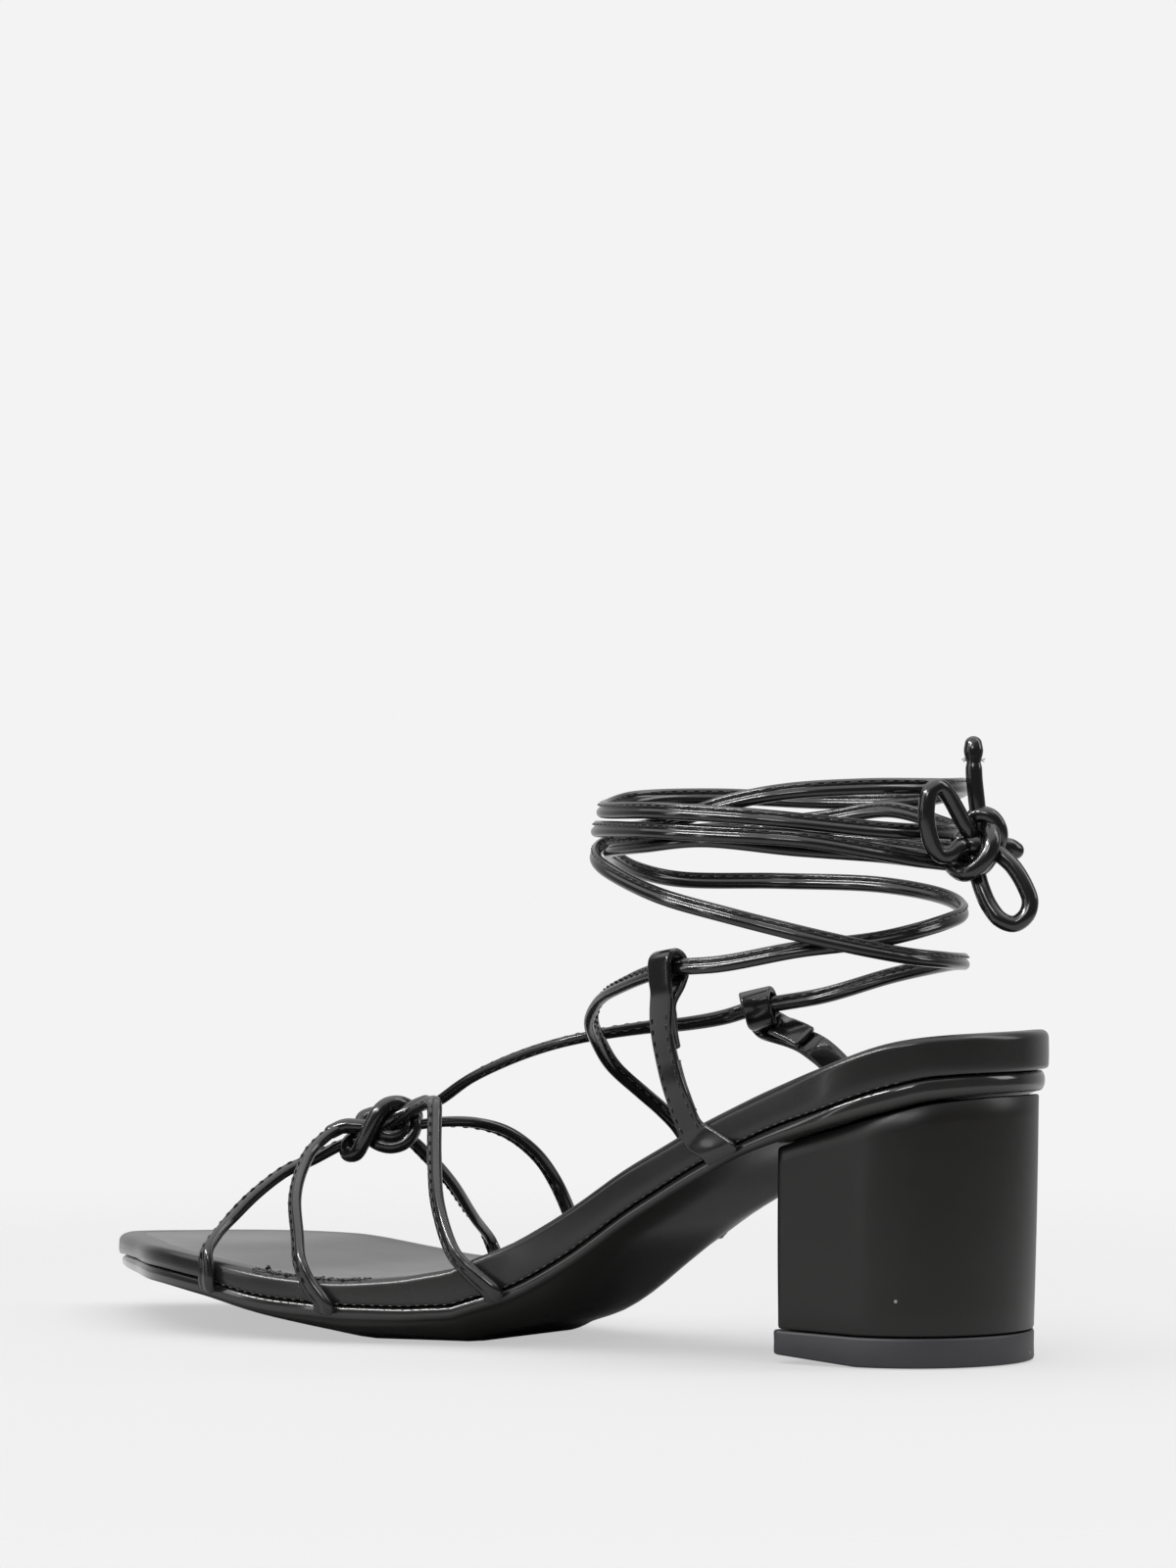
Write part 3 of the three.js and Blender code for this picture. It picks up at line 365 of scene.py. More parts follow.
def scatterForms(form, centres, xs, ys, zs, finish):
    # the same small form at many places: place = centre + x * xs + y * ys + z * zs
    points, formQuads = form
    points = (centres[:, None] + points[None, :, :1] * xs[:, None]
              + points[None, :, 1:2] * ys[:, None] + points[None, :, 2:] * zs[:, None])
    firsts = np.arange(len(centres)) * points.shape[1]
    quads = (formQuads[None] + firsts[:, None, None]).reshape(-1, 4)
    return meshFrom(points.reshape(-1, 3), quads, finish)


threadRows = np.array([  # share of the length from the middle, and share of the radius
    (-0.5, 0.25), (-0.42, 0.8), (-0.2, 1.0), (0.2, 1.0), (0.42, 0.8), (0.5, 0.25)])


def threadForm(length, radius, sides=6):
    # one stitch: a short thread, with its ends sunk: height = radius * (1 - 2.4 * |2 * share|^3)
    along, thick = threadRows.T[:, :, None]
    ring = tubeProfile(radius, sides)
    height = radius * (1 - 2.4 * (np.abs(along) * 2) ** 3)
    grid = np.stack(np.broadcast_arrays(
        along * length, ring[None, :, 0] * thick, ring[None, :, 1] * thick + height), -1)
    return grid.reshape(-1, 3), gridQuads(len(along), sides, True)


def stitchRow(path, outward, across, out, values, finish, start=0.0, end=1.0):
    # threads laid end to end along a path, pushed across and out of it
    tangent, side, up = pathFrames(path, outward)
    line = path + side * across + up * out
    run = runAlong(line)
    places = np.arange(start * run[-1] + values["pitch"] * 0.5, end * run[-1], values["pitch"])
    directions = [unit(pickAt(places, run, table)) for table in (tangent, side, up)]
    form = threadForm(values["stitch"], values["thread"])
    return scatterForms(form, pickAt(places, run, line), *directions, finish)


def stitchFaces(path, outward, across, out, values, start, end):
    # the same row on both faces of a strap
    return [stitchRow(path, outward, across, out * face, {**values, "thread": values["thread"] * face},
                      material["thread"], start, end) for face in (1, -1)]


# Surface effects shared by the materials

def newGroup(name, inputs, outputs):
    group = bpy.data.node_groups.new(name, "ShaderNodeTree")
    for label, value in inputs.items():
        socket = group.interface.new_socket(name=label, in_out="INPUT", socket_type="NodeSocketFloat")
        socket.default_value = value
    for label in outputs:
        group.interface.new_socket(name=label, in_out="OUTPUT", socket_type="NodeSocketFloat")
    start = group.nodes.new("NodeGroupInput").outputs
    end = group.nodes.new("NodeGroupOutput").inputs
    return group, start, end, addNode(group, "TexCoord")["Object"]


def makeGrain():
    # fine leather pebbling over slow waves, as a height
    group, start, end, place = newGroup(
        "leatherGrain", {"Scale": 900.0, "Waves": 60.0, "Wave Share": 0.5}, ["Height"])
    cells = addNode(group, "TexVoronoi", None, {"Vector": place, "Scale": start["Scale"]},
                    feature="SMOOTH_F1")
    waves = addNode(group, "TexNoise", {"Detail": 3}, {"Vector": place, "Scale": start["Waves"]})
    mix = addNode(group, "Mix", None,
                  {"Factor": start["Wave Share"], "A": cells["Distance"], "B": waves["Fac"]})
    group.links.new(mix["Result"], end["Height"])
    return group


def makeWear():
    # smudges: soft patches that change gloss, and rare pale specks of dust inside small dots
    group, start, end, place = newGroup(
        "smudgeAndDust", {"Patch Scale": 25.0, "Dust Scale": 260.0, "Dust": 0.04}, ["Patches", "Specks"])
    patches = addNode(group, "TexNoise", {"Detail": 5, "Roughness": 0.6},
                      {"Vector": place, "Scale": start["Patch Scale"]})
    dots = addNode(group, "TexVoronoi", None, {"Vector": place, "Scale": start["Dust Scale"]})
    small = addNode(group, "Math", {1: 0.11}, {0: dots["Distance"]}, operation="LESS_THAN")[0]
    chance = addNode(group, "SeparateXYZ", None, {0: dots["Color"]})["X"]
    rare = addNode(group, "Math", None, {0: chance, 1: start["Dust"]}, operation="LESS_THAN")[0]
    specks = addNode(group, "Math", None, {0: small, 1: rare}, operation="MULTIPLY")[0]
    group.links.new(patches["Fac"], end["Patches"])
    group.links.new(specks, end["Specks"])
    return group


grainGroup = makeGrain()
wearGroup = makeWear()

finishes = {
    "strapLeather": {
        "colour": (0.007, 0.007, 0.0075), "pale": (0.011, 0.0108, 0.0108), "roughness": (0.16, 0.26),
        "coat": 0.5, "coatRoughness": 0.09, "specular": 0.42, "bump": 0.02, "distance": 0.0001,
        "grain": 900.0, "waves": 160.0, "waveShare": 0.85, "dust": 0.01, "dustScale": 500.0},
    "wallLeather": {
        "colour": (0.019, 0.0186, 0.0182), "pale": (0.026, 0.0248, 0.024), "roughness": (0.2, 0.3),
        "coat": 0.12, "coatRoughness": 0.14, "specular": 0.4, "bump": 0.04, "distance": 0.0001,
        "grain": 1300.0, "waves": 45.0, "waveShare": 0.7, "dust": 0.006, "dustScale": 420.0},
    "liningLeather": {
        "colour": (0.007, 0.0068, 0.0066), "pale": (0.012, 0.0114, 0.0108), "roughness": (0.12, 0.2),
        "coat": 0.0, "coatRoughness": 0.3, "specular": 0.4, "bump": 0.05, "distance": 0.0001,
        "grain": 1300.0, "waves": 50.0, "waveShare": 0.6, "dust": 0.01, "dustScale": 380.0},
    "soleRubber": {
        "colour": (0.021, 0.0205, 0.02), "pale": (0.027, 0.026, 0.025), "roughness": (0.12, 0.2),
        "coat": 1.0, "coatRoughness": 0.07, "specular": 0.42, "bump": 0.03, "distance": 0.0001,
        "grain": 900.0, "waves": 60.0, "waveShare": 0.8, "dust": 0.008, "dustScale": 380.0,
        "shadedUnderneath": 0.004},  # what is left of the gloss where the surface looks down: painted shade, so the underside stays dark as if it reflected shaded floor
    "heelLeather": {
        "colour": (0.0058, 0.0052, 0.0048), "pale": (0.0105, 0.009, 0.0082), "roughness": (0.3, 0.42),
        "coat": 0.05, "coatRoughness": 0.3, "specular": 0.42, "bump": 0.08, "distance": 0.0001,
        "grain": 1100.0, "waves": 40.0, "waveShare": 0.7, "dust": 0.014, "dustScale": 330.0},
    "treadRubber": {
        "colour": (0.046, 0.045, 0.05), "pale": (0.06, 0.059, 0.064), "roughness": (0.4, 0.55),
        "coat": 0.0, "coatRoughness": 0.4, "specular": 0.4, "bump": 0.1, "distance": 0.0001,
        "grain": 1200.0, "waves": 90.0, "waveShare": 0.6, "dust": 0.04, "dustScale": 330.0},
    "thread": {
        "colour": (0.025, 0.025, 0.0255), "pale": (0.06, 0.058, 0.056), "roughness": (0.25, 0.4),
        "coat": 0.2, "coatRoughness": 0.3, "specular": 0.4, "bump": 0.1, "distance": 0.00005,
        "grain": 3000.0, "waves": 900.0, "waveShare": 0.5, "dust": 0.0, "dustScale": 500.0},
    # pale thread, cut ends and frayed fibres; the same pale finish also paints the highlight lines along the
    # stays' edges
    "cutEdgeAndHighlight": {
        "colour": (0.07, 0.067, 0.064), "pale": (0.2, 0.195, 0.19), "roughness": (0.5, 0.7),
        "coat": 0.0, "coatRoughness": 0.4, "specular": 0.3, "bump": 0.3, "distance": 0.0001,
        "grain": 2000.0, "waves": 500.0, "waveShare": 0.5, "dust": 0.0, "dustScale": 400.0},
}
finishRanges = {  # of the smudges for tone and roughness, and of the normal's height over which the gloss fades as painted shade underneath
    "tone": (0.4, 0.75), "roughness": (0.3, 0.7), "shadedUnderneath": (-0.75, -0.15),
    "dustColour": (0.35, 0.34, 0.33, 1),
}


def makeFinish(name, values):
    finish = bpy.data.materials.new(name)
    finish.use_nodes = True
    tree = finish.node_tree
    shader = tree.nodes["Principled BSDF"].inputs
    grain = addNode(tree, "Group", {"Scale": values["grain"], "Waves": values["waves"],
                                    "Wave Share": values["waveShare"]}, node_tree=grainGroup)["Height"]
    wear = addNode(tree, "Group", {"Dust Scale": values["dustScale"], "Dust": values["dust"]},
                   node_tree=wearGroup)
    smudges = mapRange(tree, wear["Patches"], finishRanges["tone"])
    tone = addNode(tree, "Mix", {"A": (*values["colour"], 1), "B": (*values["pale"], 1)},
                   {"Factor": smudges}, data_type="RGBA")["Result"]
    dusty = addNode(tree, "Mix", {"B": finishRanges["dustColour"]},
                    {"Factor": wear["Specks"], "A": tone}, data_type="RGBA")["Result"]
    rough = mapRange(tree, wear["Patches"], finishRanges["roughness"], values["roughness"])
    bump = addNode(tree, "Bump", {"Strength": values["bump"], "Distance": values["distance"]},
                   {"Height": grain})["Normal"]
    for socket, source in (("Base Color", dusty), ("Roughness", rough), ("Normal", bump)):
        tree.links.new(source, shader[socket])
    for socket, value in (("Coat Weight", "coat"), ("Coat Roughness", "coatRoughness"),
                          ("Specular IOR Level", "specular")):
        shader[socket].default_value = values[value]
    # painted shade: the gloss and coat fade where the surface faces down, so the underside stays dark
    if "shadedUnderneath" in values:
        normal = addNode(tree, "TexCoord")["Normal"]
        facing = addNode(tree, "SeparateXYZ", None, {0: normal})["Z"]
        gloss = mapRange(tree, facing, finishRanges["shadedUnderneath"], (values["shadedUnderneath"], values["specular"]))
        coat = addNode(tree, "Math", {1: values["coat"]}, {0: gloss}, operation="MULTIPLY")[0]
        tree.links.new(gloss, shader["Specular IOR Level"])
        tree.links.new(coat, shader["Coat Weight"])
    return finish


material = {name: makeFinish(name, values) for name, values in finishes.items()}
print("materials ready")


# The last: outline and side profile in millimetres and shares, as the solids have them

shoe = {
    "length": 225.4, "ballWidth": 76, "waistWidth": 47, "seatWidth": 54, "toeOffset": 13,
    "heelHeight": 51, "toeSpring": 9, "toeRoll": 0.7, "soleThickness": 7.2, "footbedThickness": 8,
    "rimInset": 0.3, "edgeRadius": 1.6, "gap": 0.3,
    "blockWidth": 47, "blockLength": 40, "blockBack": 1.6, "blockTaper": 1.2, "blockCorner": 2.0,
    "blockRound": 0.95,  # the round back's length as a share of half the width
    "topPiece": 5.6, "topPieceProud": 1, "treadLift": 1.5, "topLift": 0.5,
    "strapRise": 40, "strapThickness": 2.4,
    "anklePlace": 55, "ankleLength": 69, "ankleWidth": 59, "tieRise": 46,
}
ringPoints = 256

outlineRows = [  # share of the length, half widths as shares, and the width that they are shares of
    (0.014, 0.24, 0.24, "seatWidth"), (0.047, 0.4, 0.4, "seatWidth"), (0.115, 0.5, 0.5, "seatWidth"),
    (0.22, 0.49, 0.47, "seatWidth"), (0.33, 0.55, 0.455, "waistWidth"), (0.44, 0.585, 0.455, "waistWidth"),
    (0.54, 0.434, 0.35, "ballWidth"), (0.64, 0.497, 0.434, "ballWidth"), (0.73, 0.5, 0.478, "ballWidth"),
    (0.815, 0.425, 0.49, "ballWidth"), (0.89, 0.23, 0.45, "ballWidth"), (0.947, 0.065, 0.37, "ballWidth"),
    (0.985, -0.066, 0.275, "ballWidth"),
]

profileRows = np.array([  # share of the length, heel, spring, outsole and footbed shares
    (0, 1, 0, 0.56, 0.95), (0.04, 0.982, 0, 0.61, 0.96), (0.075, 0.941, 0, 0.62, 1.03),
    (0.137, 0.863, 0, 0.5, 0.99), (0.177, 0.81, 0, 0.46, 0.93), (0.217, 0.745, 0, 0.41, 0.92),
    (0.274, 0.6, 0, 0.567, 0.95), (0.319, 0.485, 0, 0.58, 1.01), (0.35, 0.405, 0, 0.526, 1.05),
    (0.385, 0.274, 0, 0.723, 1.07), (0.42, 0.15, 0, 0.964, 1.07), (0.447, 0.085, 0, 1.014, 1.04),
    (0.487, 0.03, 0, 1.0, 0.94), (0.504, 0, 0, 1.07, 0.87), (0.548, 0, 0, 1, 0.72), (0.595, 0, 0, 1, 0.61),
    (0.622, 0, 0.1, 0.92, 0.58), (0.686, 0, 0.367, 0.69, 0.59), (0.752, 0, 0.69, 0.6, 0.52),
    (0.819, 0, 0.92, 0.5, 0.51), (0.885, 0, 0.98, 0.455, 0.495), (0.951, 0, 1, 0.375, 0.51),
    (1, 0, 1, 0.27, 0.59),
])


def column(index, place):
    # monotone curve through one column: harmonic mean slopes, level at both ends
    xs, ys = profileRows[:, 0], profileRows[:, index]
    place = np.clip(place, xs[0], xs[-1])
    rise = np.diff(ys) / np.diff(xs)
    slope = np.zeros(len(xs))
    both = rise[:-1] * rise[1:]
    total = rise[:-1] + rise[1:]
    slope[1:-1] = np.where(both > 0, 2 * both / np.where(total == 0, 1, total), 0)
    k = np.clip(np.searchsorted(xs, place, side="left") - 1, 0, len(xs) - 2)
    step = xs[k + 1] - xs[k]
    t = (place - xs[k]) / step
    s, e, d = slope[k] * step, slope[k + 1] * step, ys[k + 1] - ys[k]
    return ys[k] + t * s + t ** 2 * (3 * d - 2 * s - e) + t ** 3 * (s + e - 2 * d)


def smoothstep(x, low, high):
    t = np.clip((np.asarray(x, float) - low) / (high - low), 0, 1)
    return t * t * (3 - 2 * t)


def heightsAt(x, y=0.0):
    # underside, groove and footbed edge heights at a place of the shoe; the toe part rolls to the right
    place = np.asarray(x, float) / shoe["length"]
    roll = shoe["toeRoll"] * smoothstep(place, 0.6, 0.75) * np.asarray(y, float) / (shoe["ballWidth"] / 2)
    under = column(1, place) * shoe["heelHeight"] + column(2, place) * shoe["toeSpring"] + roll
    groove = under + column(3, place) * shoe["soleThickness"]
    return under, groove, groove + column(4, place) * shoe["footbedThickness"]


def outlineKnots():
    left = [(a * shoe["length"], l * shoe[w], 0) for a, l, r, w in outlineRows]
    right = [(a * shoe["length"], -r * shoe[w], 0) for a, l, r, w in outlineRows]
    return np.array([(0, 0, 0)] + left + [(shoe["length"], -shoe["toeOffset"], 0)] + right[::-1], float)


def outlineAt(share, outward=0.0):
    # closed spline through the outline's knots, moved outward square to itself
    p = outlineKnots()
    u = (np.atleast_1d(np.asarray(share, float)) % 1.0) * len(p)
    k = np.floor(u).astype(int)
    t = (u - k)[:, None]
    c1, c2, c3 = spanCubics(*(p[(k + step) % len(p)] for step in (-1, 0, 1, 2)))
    point = p[k % len(p)] + c1 * t + c2 * t ** 2 + c3 * t ** 3
    tangent = unit(c1 + 2 * c2 * t + 3 * c3 * t ** 2)
    normal = np.stack([-tangent[:, 1], tangent[:, 0], np.zeros(len(tangent))], 1)
    return point + normal * np.reshape(outward, (-1, 1)), tangent


def shareOnSide(side, along):
    # where one side of the outline passes a place along the shoe
    shares = np.linspace(0.0 if side == "left" else 1.0, 0.5, 2001)
    xs = outlineAt(shares)[0][:, 0]
    return float(np.interp(along * shoe["length"], xs, shares))


def lastRing(inset, height):
    # one ring of a last-shaped piece: the outline moved inward, at a height worked out from its place
    shares = np.arange(ringPoints) / ringPoints
    ring, _ = outlineAt(shares, -np.asarray(inset, float) * np.ones(ringPoints))
    ring[:, 2] = height(heightsAt(ring[:, 0], ring[:, 1]), ring)
    return ring


def ringWall(rings, finish):
    return meshFrom(np.vstack(rings), gridQuads(len(rings), ringPoints, True), finish)


def closeRing(ring, columns, finish, crown=lambda t, width: 0 * t):
    # straight lines across the shoe between a ring's paired points, raised by a crown; the two
    # pointed ends are closed onto the ring's end points
    half = len(ring) // 2
    near, far = ring[1:half, None], ring[:half:-1, None]
    t = np.linspace(0, 1, columns)[None, :]
    grid = near * (1 - t[..., None]) + far * t[..., None]
    grid[..., 2] += crown(t, np.linalg.norm(far - near, axis=-1))
    points = np.vstack([grid.reshape(-1, 3), ring[:1], ring[half:half + 1]])
    first = len(grid) * columns
    base = first - columns
    caps = [np.array([first, k + 1, k]) for k in range(columns - 1)]
    caps += [np.array([first + 1, base + k, base + k + 1]) for k in range(columns - 1)]
    return meshFrom(points, gridQuads(len(grid), columns, False), finish, None, caps)


# Sole

soleValues = {
    "bead": 2.7, "beadShare": 0.8, "seatBeadShare": 0.92,  # the bead's depth and shares of the whole
    "seatEnd": (0.15, 0.3), "forefootStart": (0.45, 0.6),  # shares of the length
    "endInset": 0.45, "heelEnd": (0, 0.1), "toeEnd": (0.92, 1),
    "topInset": 6, "topEdge": 1.5, "topEdgeDepth": 0.02, "beadTop": 0.03,
    "beadTurn": (-72, 84, 17),  # degrees from and to, and rings
    "forefootTuck": 0.7, "draw": 11, "drawRings": 14, "drawPower": 1.7,
    "waistPower": 2.6, "forefootPower": 0.4,
}


def beadDepth(h, x):
    # nearly the whole thickness under the seat; further on, at most the bead's own
    whole = h[1] - h[0]
    seat = 1 - smoothstep(x / shoe["length"], *soleValues["seatEnd"])
    slim = np.minimum(soleValues["bead"], whole * soleValues["beadShare"])
    return seat * whole * soleValues["seatBeadShare"] + (1 - seat) * slim


def makeOutsole(values):
    # a rounded bead under the groove, then the underside turns in below it; u is the share of the way in:
    # share of the drop = 1 - (1 - u)^2.6 at the waist and u^0.4 at the forefoot
    place = outlineAt(np.arange(ringPoints) / ringPoints)[0][:, 0] / shoe["length"]
    fore = smoothstep(place, *values["forefootStart"])
    ends = 1 - smoothstep(place, *values["heelEnd"]) + smoothstep(place, *values["toeEnd"])
    inset = shoe["rimInset"] + values["endInset"] * ends
    tuck = 1 - values["forefootTuck"] * fore
    low = lambda h, r: h[1] - beadDepth(h, r[:, 0])
    rings = [lastRing(values["topInset"], lambda h, r: h[1]),
             lastRing(inset + values["topEdge"], lambda h, r: h[1] - values["topEdgeDepth"])]
    for turn in np.radians(np.linspace(*values["beadTurn"])):
        deep = (1 - math.cos(turn)) * (tuck if turn > 0 else 1)
        share = 0.5 + 0.5 * math.sin(turn)
        rings.append(lastRing(
            inset + deep, lambda h, r: h[1] - values["beadTop"] - share * beadDepth(h, r[:, 0])))
    for step in np.linspace(0.1, 1, values["drawRings"]):
        u = step ** values["drawPower"]
        share = (1 - (1 - u) ** values["waistPower"]) * (1 - fore) + u ** values["forefootPower"] * fore
        rings.append(lastRing(inset + tuck + values["draw"] * u,
                              lambda h, r: low(h, r) - share * (low(h, r) - h[0])))
    rubber = material["soleRubber"]
    parts = [ringWall(rings, rubber), closeRing(rings[0], 9, rubber), closeRing(rings[-1], 17, rubber)]
    makePiece("outsoleUnit", parts, "outsole", "outsole")


# Footbed

bedValues = {
    "lowerEdge": [(6, 0), (1.2, 0), (0.6, 0.03), (0.3, 0.16), (0.1, 0.42), (0.02, 0.85)],  # insets and rises
    "wallBulge": 0.05, "wallRings": (0.35, 1, 7), "rollTurn": (12, 90, 8),  # from, to and how many
    "upperEdge": [(0.9, 0.04), (2.2, 0.03), (4.0, -0.05)],  # past the roll
    "dish": 0.45, "dishPower": 0.7, "dishWidth": 40,
}


def makeFootbed(values):
    # wrapped wall, rolled upper edge and a shallow dish for the foot: depth = dish * sin(pi * t)^power
    gap, radius = shoe["gap"], shoe["edgeRadius"]
    rings = [lastRing(inset, lambda h, r: h[1] + gap * 0.5 + rise) for inset, rise in values["lowerEdge"]]
    for share in np.linspace(*values["wallRings"]):
        rings.append(lastRing(-values["wallBulge"] * math.sin(share * math.pi),
                              lambda h, r: h[1] + gap + (h[2] - radius - h[1] - gap) * share))
    for turn in np.radians(np.linspace(*values["rollTurn"])):
        rings.append(lastRing(
            radius * (1 - math.cos(turn)), lambda h, r: h[2] - radius * (1 - math.sin(turn))))
    rings += [lastRing(radius + inset, lambda h, r: h[2] + rise) for inset, rise in values["upperEdge"]]

    def dish(t, width):
        hollow = np.sin(np.pi * t) ** values["dishPower"]
        return -values["dish"] * hollow * np.clip(width / values["dishWidth"], 0, 1)

    parts = [ringWall(rings, material["wallLeather"]),
             closeRing(rings[-1], 33, material["liningLeather"], dish),
             closeRing(rings[0], 9, material["wallLeather"])]
    makePiece("footbedWrap", parts, "footbed", "footbed")


# Heel

heelValues = {  # insets and distances from the lower or upper edge
    "coverLow": [(0.5, 0), (0.12, 0.12), (0, 0.5)], "coverHigh": [(0, 0.35), (0.3, 0.08), (1.2, 0)],
    "coverBulge": 0.12, "coverRings": (0.1, 0.9, 9),
    "treadLow": [(1.1, 0), (0.4, 0), (0.1, 0.12), (-0.03, 0.5)],
    "treadHigh": [(-0.03, 0.5), (0.1, 0.12), (0.4, 0), (1.2, 0)], "treadWaist": 0.02,
}


def roundLength():
    return shoe["blockWidth"] / 2 * shoe["blockRound"]


def blockOutline(proud, lean, count=40):
    # flat breast, straight sides and a round back, from the breast's middle round and back to it
    back, breast = shoe["blockBack"], shoe["blockBack"] + shoe["blockLength"]
    half, corner, length = shoe["blockWidth"] / 2, shoe["blockCorner"], roundLength()
    angle = np.linspace(0, np.pi / 2, count)
    straight = back + length + np.linspace(0, 1, 8)[1:-1] * (shoe["blockLength"] - length - corner)
    turn = np.linspace(0, np.pi / 2, 9)
    flat = np.linspace(1, 0, 9)[1:]
    side = np.vstack([
        np.stack([back + length * (1 - np.cos(angle)), half * np.sin(angle)], 1),
        np.stack([straight, half + 0 * straight], 1),
        np.stack([breast + proud - corner * (1 - np.sin(turn)), half - corner * (1 - np.cos(turn))], 1),
        np.stack([breast + proud + 0 * flat, flat * (half - corner)], 1)])
    ring = np.vstack([side, (side[1:-1] * [1, -1])[::-1]])
    ring[:, 0] += lean * (breast - ring[:, 0]) / shoe["blockLength"]
    return ring


def blockPart(levels, finish, proud=0.0):
    # rings of the block's outline: each level gives inset, lean and height
    rings = []
    centre = np.array([shoe["blockBack"] + shoe["blockLength"] / 2, 0])
    for inset, lean, height in levels:
        ring = blockOutline(proud, lean)
        near = unit(np.roll(ring, -1, 0) - np.roll(ring, 1, 0))
        normal = np.stack([-near[:, 1], near[:, 0]], 1)
        normal *= np.sign(((ring - centre) * normal).sum(1, keepdims=True))
        ring = ring - normal * inset
        rings.append(np.column_stack([ring, height(ring[:, 0]) * np.ones(len(ring))]))
    return tubeMesh(np.stack(rings), finish)


def towardsBreast(x):
    # share of a lift that rises evenly along the block's straight sides
    straight = shoe["blockBack"] + roundLength()
    return np.maximum(0, (x - straight) / (shoe["blockBack"] + shoe["blockLength"] - straight))


def levelsFrom(rows, lean, height, sign):
    # rows of inset and distance, above the height with sign 1 and below it with sign -1
    return [(inset, lean, lambda x, rise=rise: height(x) + sign * rise) for inset, rise in rows]


def makeHeel(values):
    taper, gap, thick = shoe["blockTaper"], shoe["gap"], shoe["topPiece"]
    foot = lambda x: thick + gap + shoe["topLift"] * towardsBreast(x)
    head = lambda x: heightsAt(x)[0] - gap
    start = values["coverLow"][-1][1]
    levels = levelsFrom(values["coverLow"], taper, foot, 1)
    for share in np.linspace(*values["coverRings"]):
        levels.append((-values["coverBulge"] * math.sin(share * math.pi), taper * (1 - share),
                       lambda x, s=share: foot(x) + start + (head(x) - foot(x) - start) * s))
    levels += levelsFrom(values["coverHigh"], 0, head, -1)
    makePiece("heelCover", [blockPart(levels, material["heelLeather"])], "heel_cover", "heel_block")
    low = lambda x: shoe["treadLift"] * towardsBreast(x)
    high = lambda x: thick + shoe["topLift"] * towardsBreast(x)
    levels = levelsFrom(values["treadLow"], taper, low, 1)
    levels.append((values["treadWaist"], taper, lambda x: (low(x) + high(x)) / 2))
    levels += levelsFrom(values["treadHigh"], taper, high, -1)
    tread = blockPart(levels, material["treadRubber"], shoe["topPieceProud"])
    makePiece("heelTread", [tread], "top_piece", "top_piece")


makeOutsole(soleValues)
makeFootbed(bedValues)
makeHeel(heelValues)
print("sole, footbed and heel ready")


# Straps

strapLook = {
    "bead": 1.06,  # radius of the rolled bead
    "width": 3.2, "flange": 0.56,  # whole width, and half the flange's thickness
    "pitch": 2.5, "stitch": 1.75, "thread": 0.17,
    "stitchPlace": 0.92, "stitchLift": 1.02,
}


def strapProfile(values, flip=1):
    # rolled bead along one edge, a crease, then the flat stitched flange with its rounded edge
    r, half, f = values["bead"], values["width"] / 2, values["flange"]
    centre = -half + r
    angle = np.radians(np.linspace(48, 312, 15))
    bead = np.stack([centre + r * np.cos(angle), r * np.sin(angle)], 1)
    crease = centre + r * 0.98
    face = [
        (crease, 0.72), (crease + 0.28, 0.98), (crease + 0.75, 1.06), (half - 0.32, 0.95),
        (half - 0.08, 0.55)]
    under = [(across, -f * share) for across, share in face]
    section = np.array([*bead, *under, (half, 0.0), *[(across, -out) for across, out in under[::-1]]])
    section[:, 0] *= flip
    return section if flip > 0 else section[::-1]


def carryStrap(path, out, flip, start, end, **shape):
    # a strap with its stitches on both faces
    strap = carryProfile(path, out, strapProfile(strapLook, flip), material["strapLeather"], **shape)
    return [strap] + stitchFaces(path, out, strapLook["stitchPlace"] * flip,
                                 strapLook["flange"] * strapLook["stitchLift"], strapLook, start, end)


seatTop = float(heightsAt(0)[2])


def aboveBed(along, aside, lift):
    x = along * shoe["length"]
    return x, aside, float(heightsAt(x)[2]) + lift


footAxis = splinePath([
    aboveBed(0.9, -shoe["toeOffset"], 0), aboveBed(0.62, 0, 0.2 * shoe["strapRise"]),
    aboveBed(0.42, 0, 0.3 * shoe["strapRise"]), (shoe["anklePlace"] + 6, 0, seatTop),
    (shoe["anklePlace"], 0, seatTop + 0.5 * shoe["tieRise"]),
    (shoe["anklePlace"], 0, seatTop + 2 * shoe["tieRise"])], count=400)


def outOfFoot(points, smooth=9):
    # away from the nearest point of the foot's axis; square to the outline below the footbed's top
    near = ((points[:, None] - footAxis[None]) ** 2).sum(-1).argmin(1)
    out = unit(points - footAxis[near])
    top = heightsAt(points[:, 0], points[:, 1])[2]
    low = 1 - smoothstep(points[:, 2] - top, 0.0, 5.0)[:, None]
    wall = np.zeros_like(points)
    wall[:, 1] = np.sign(points[:, 1])
    for k in np.nonzero(low[:, 0] > 0)[0]:
        side = "left" if points[k, 1] > 0 else "right"
        share = shareOnSide(side, np.clip(points[k, 0] / shoe["length"], 0.02, 0.98))
        wall[k] = outlineAt(share, 1.0)[0][0] - outlineAt(share, 0.0)[0][0]
    return unit(evenly(unit(out * (1 - low) + wall * low), smooth))


def overSole(rows):
    rows = np.asarray(rows, float)
    x, y = rows[:, 0] * shoe["length"], rows[:, 1] * shoe["ballWidth"]
    return np.stack([x, y, heightsAt(x, y)[1] + rows[:, 2] * shoe["strapRise"]], 1)


def grooveDirection(share):
    point, tangent = outlineAt(share)
    x, t = point[0, 0], tangent[0]
    slope = float(heightsAt(x + 1)[1] - heightsAt(x - 1)[1]) / 2
    direction = unit(np.array([t[0], t[1], slope * t[0]]))
    return direction if direction[0] > 0 else -direction


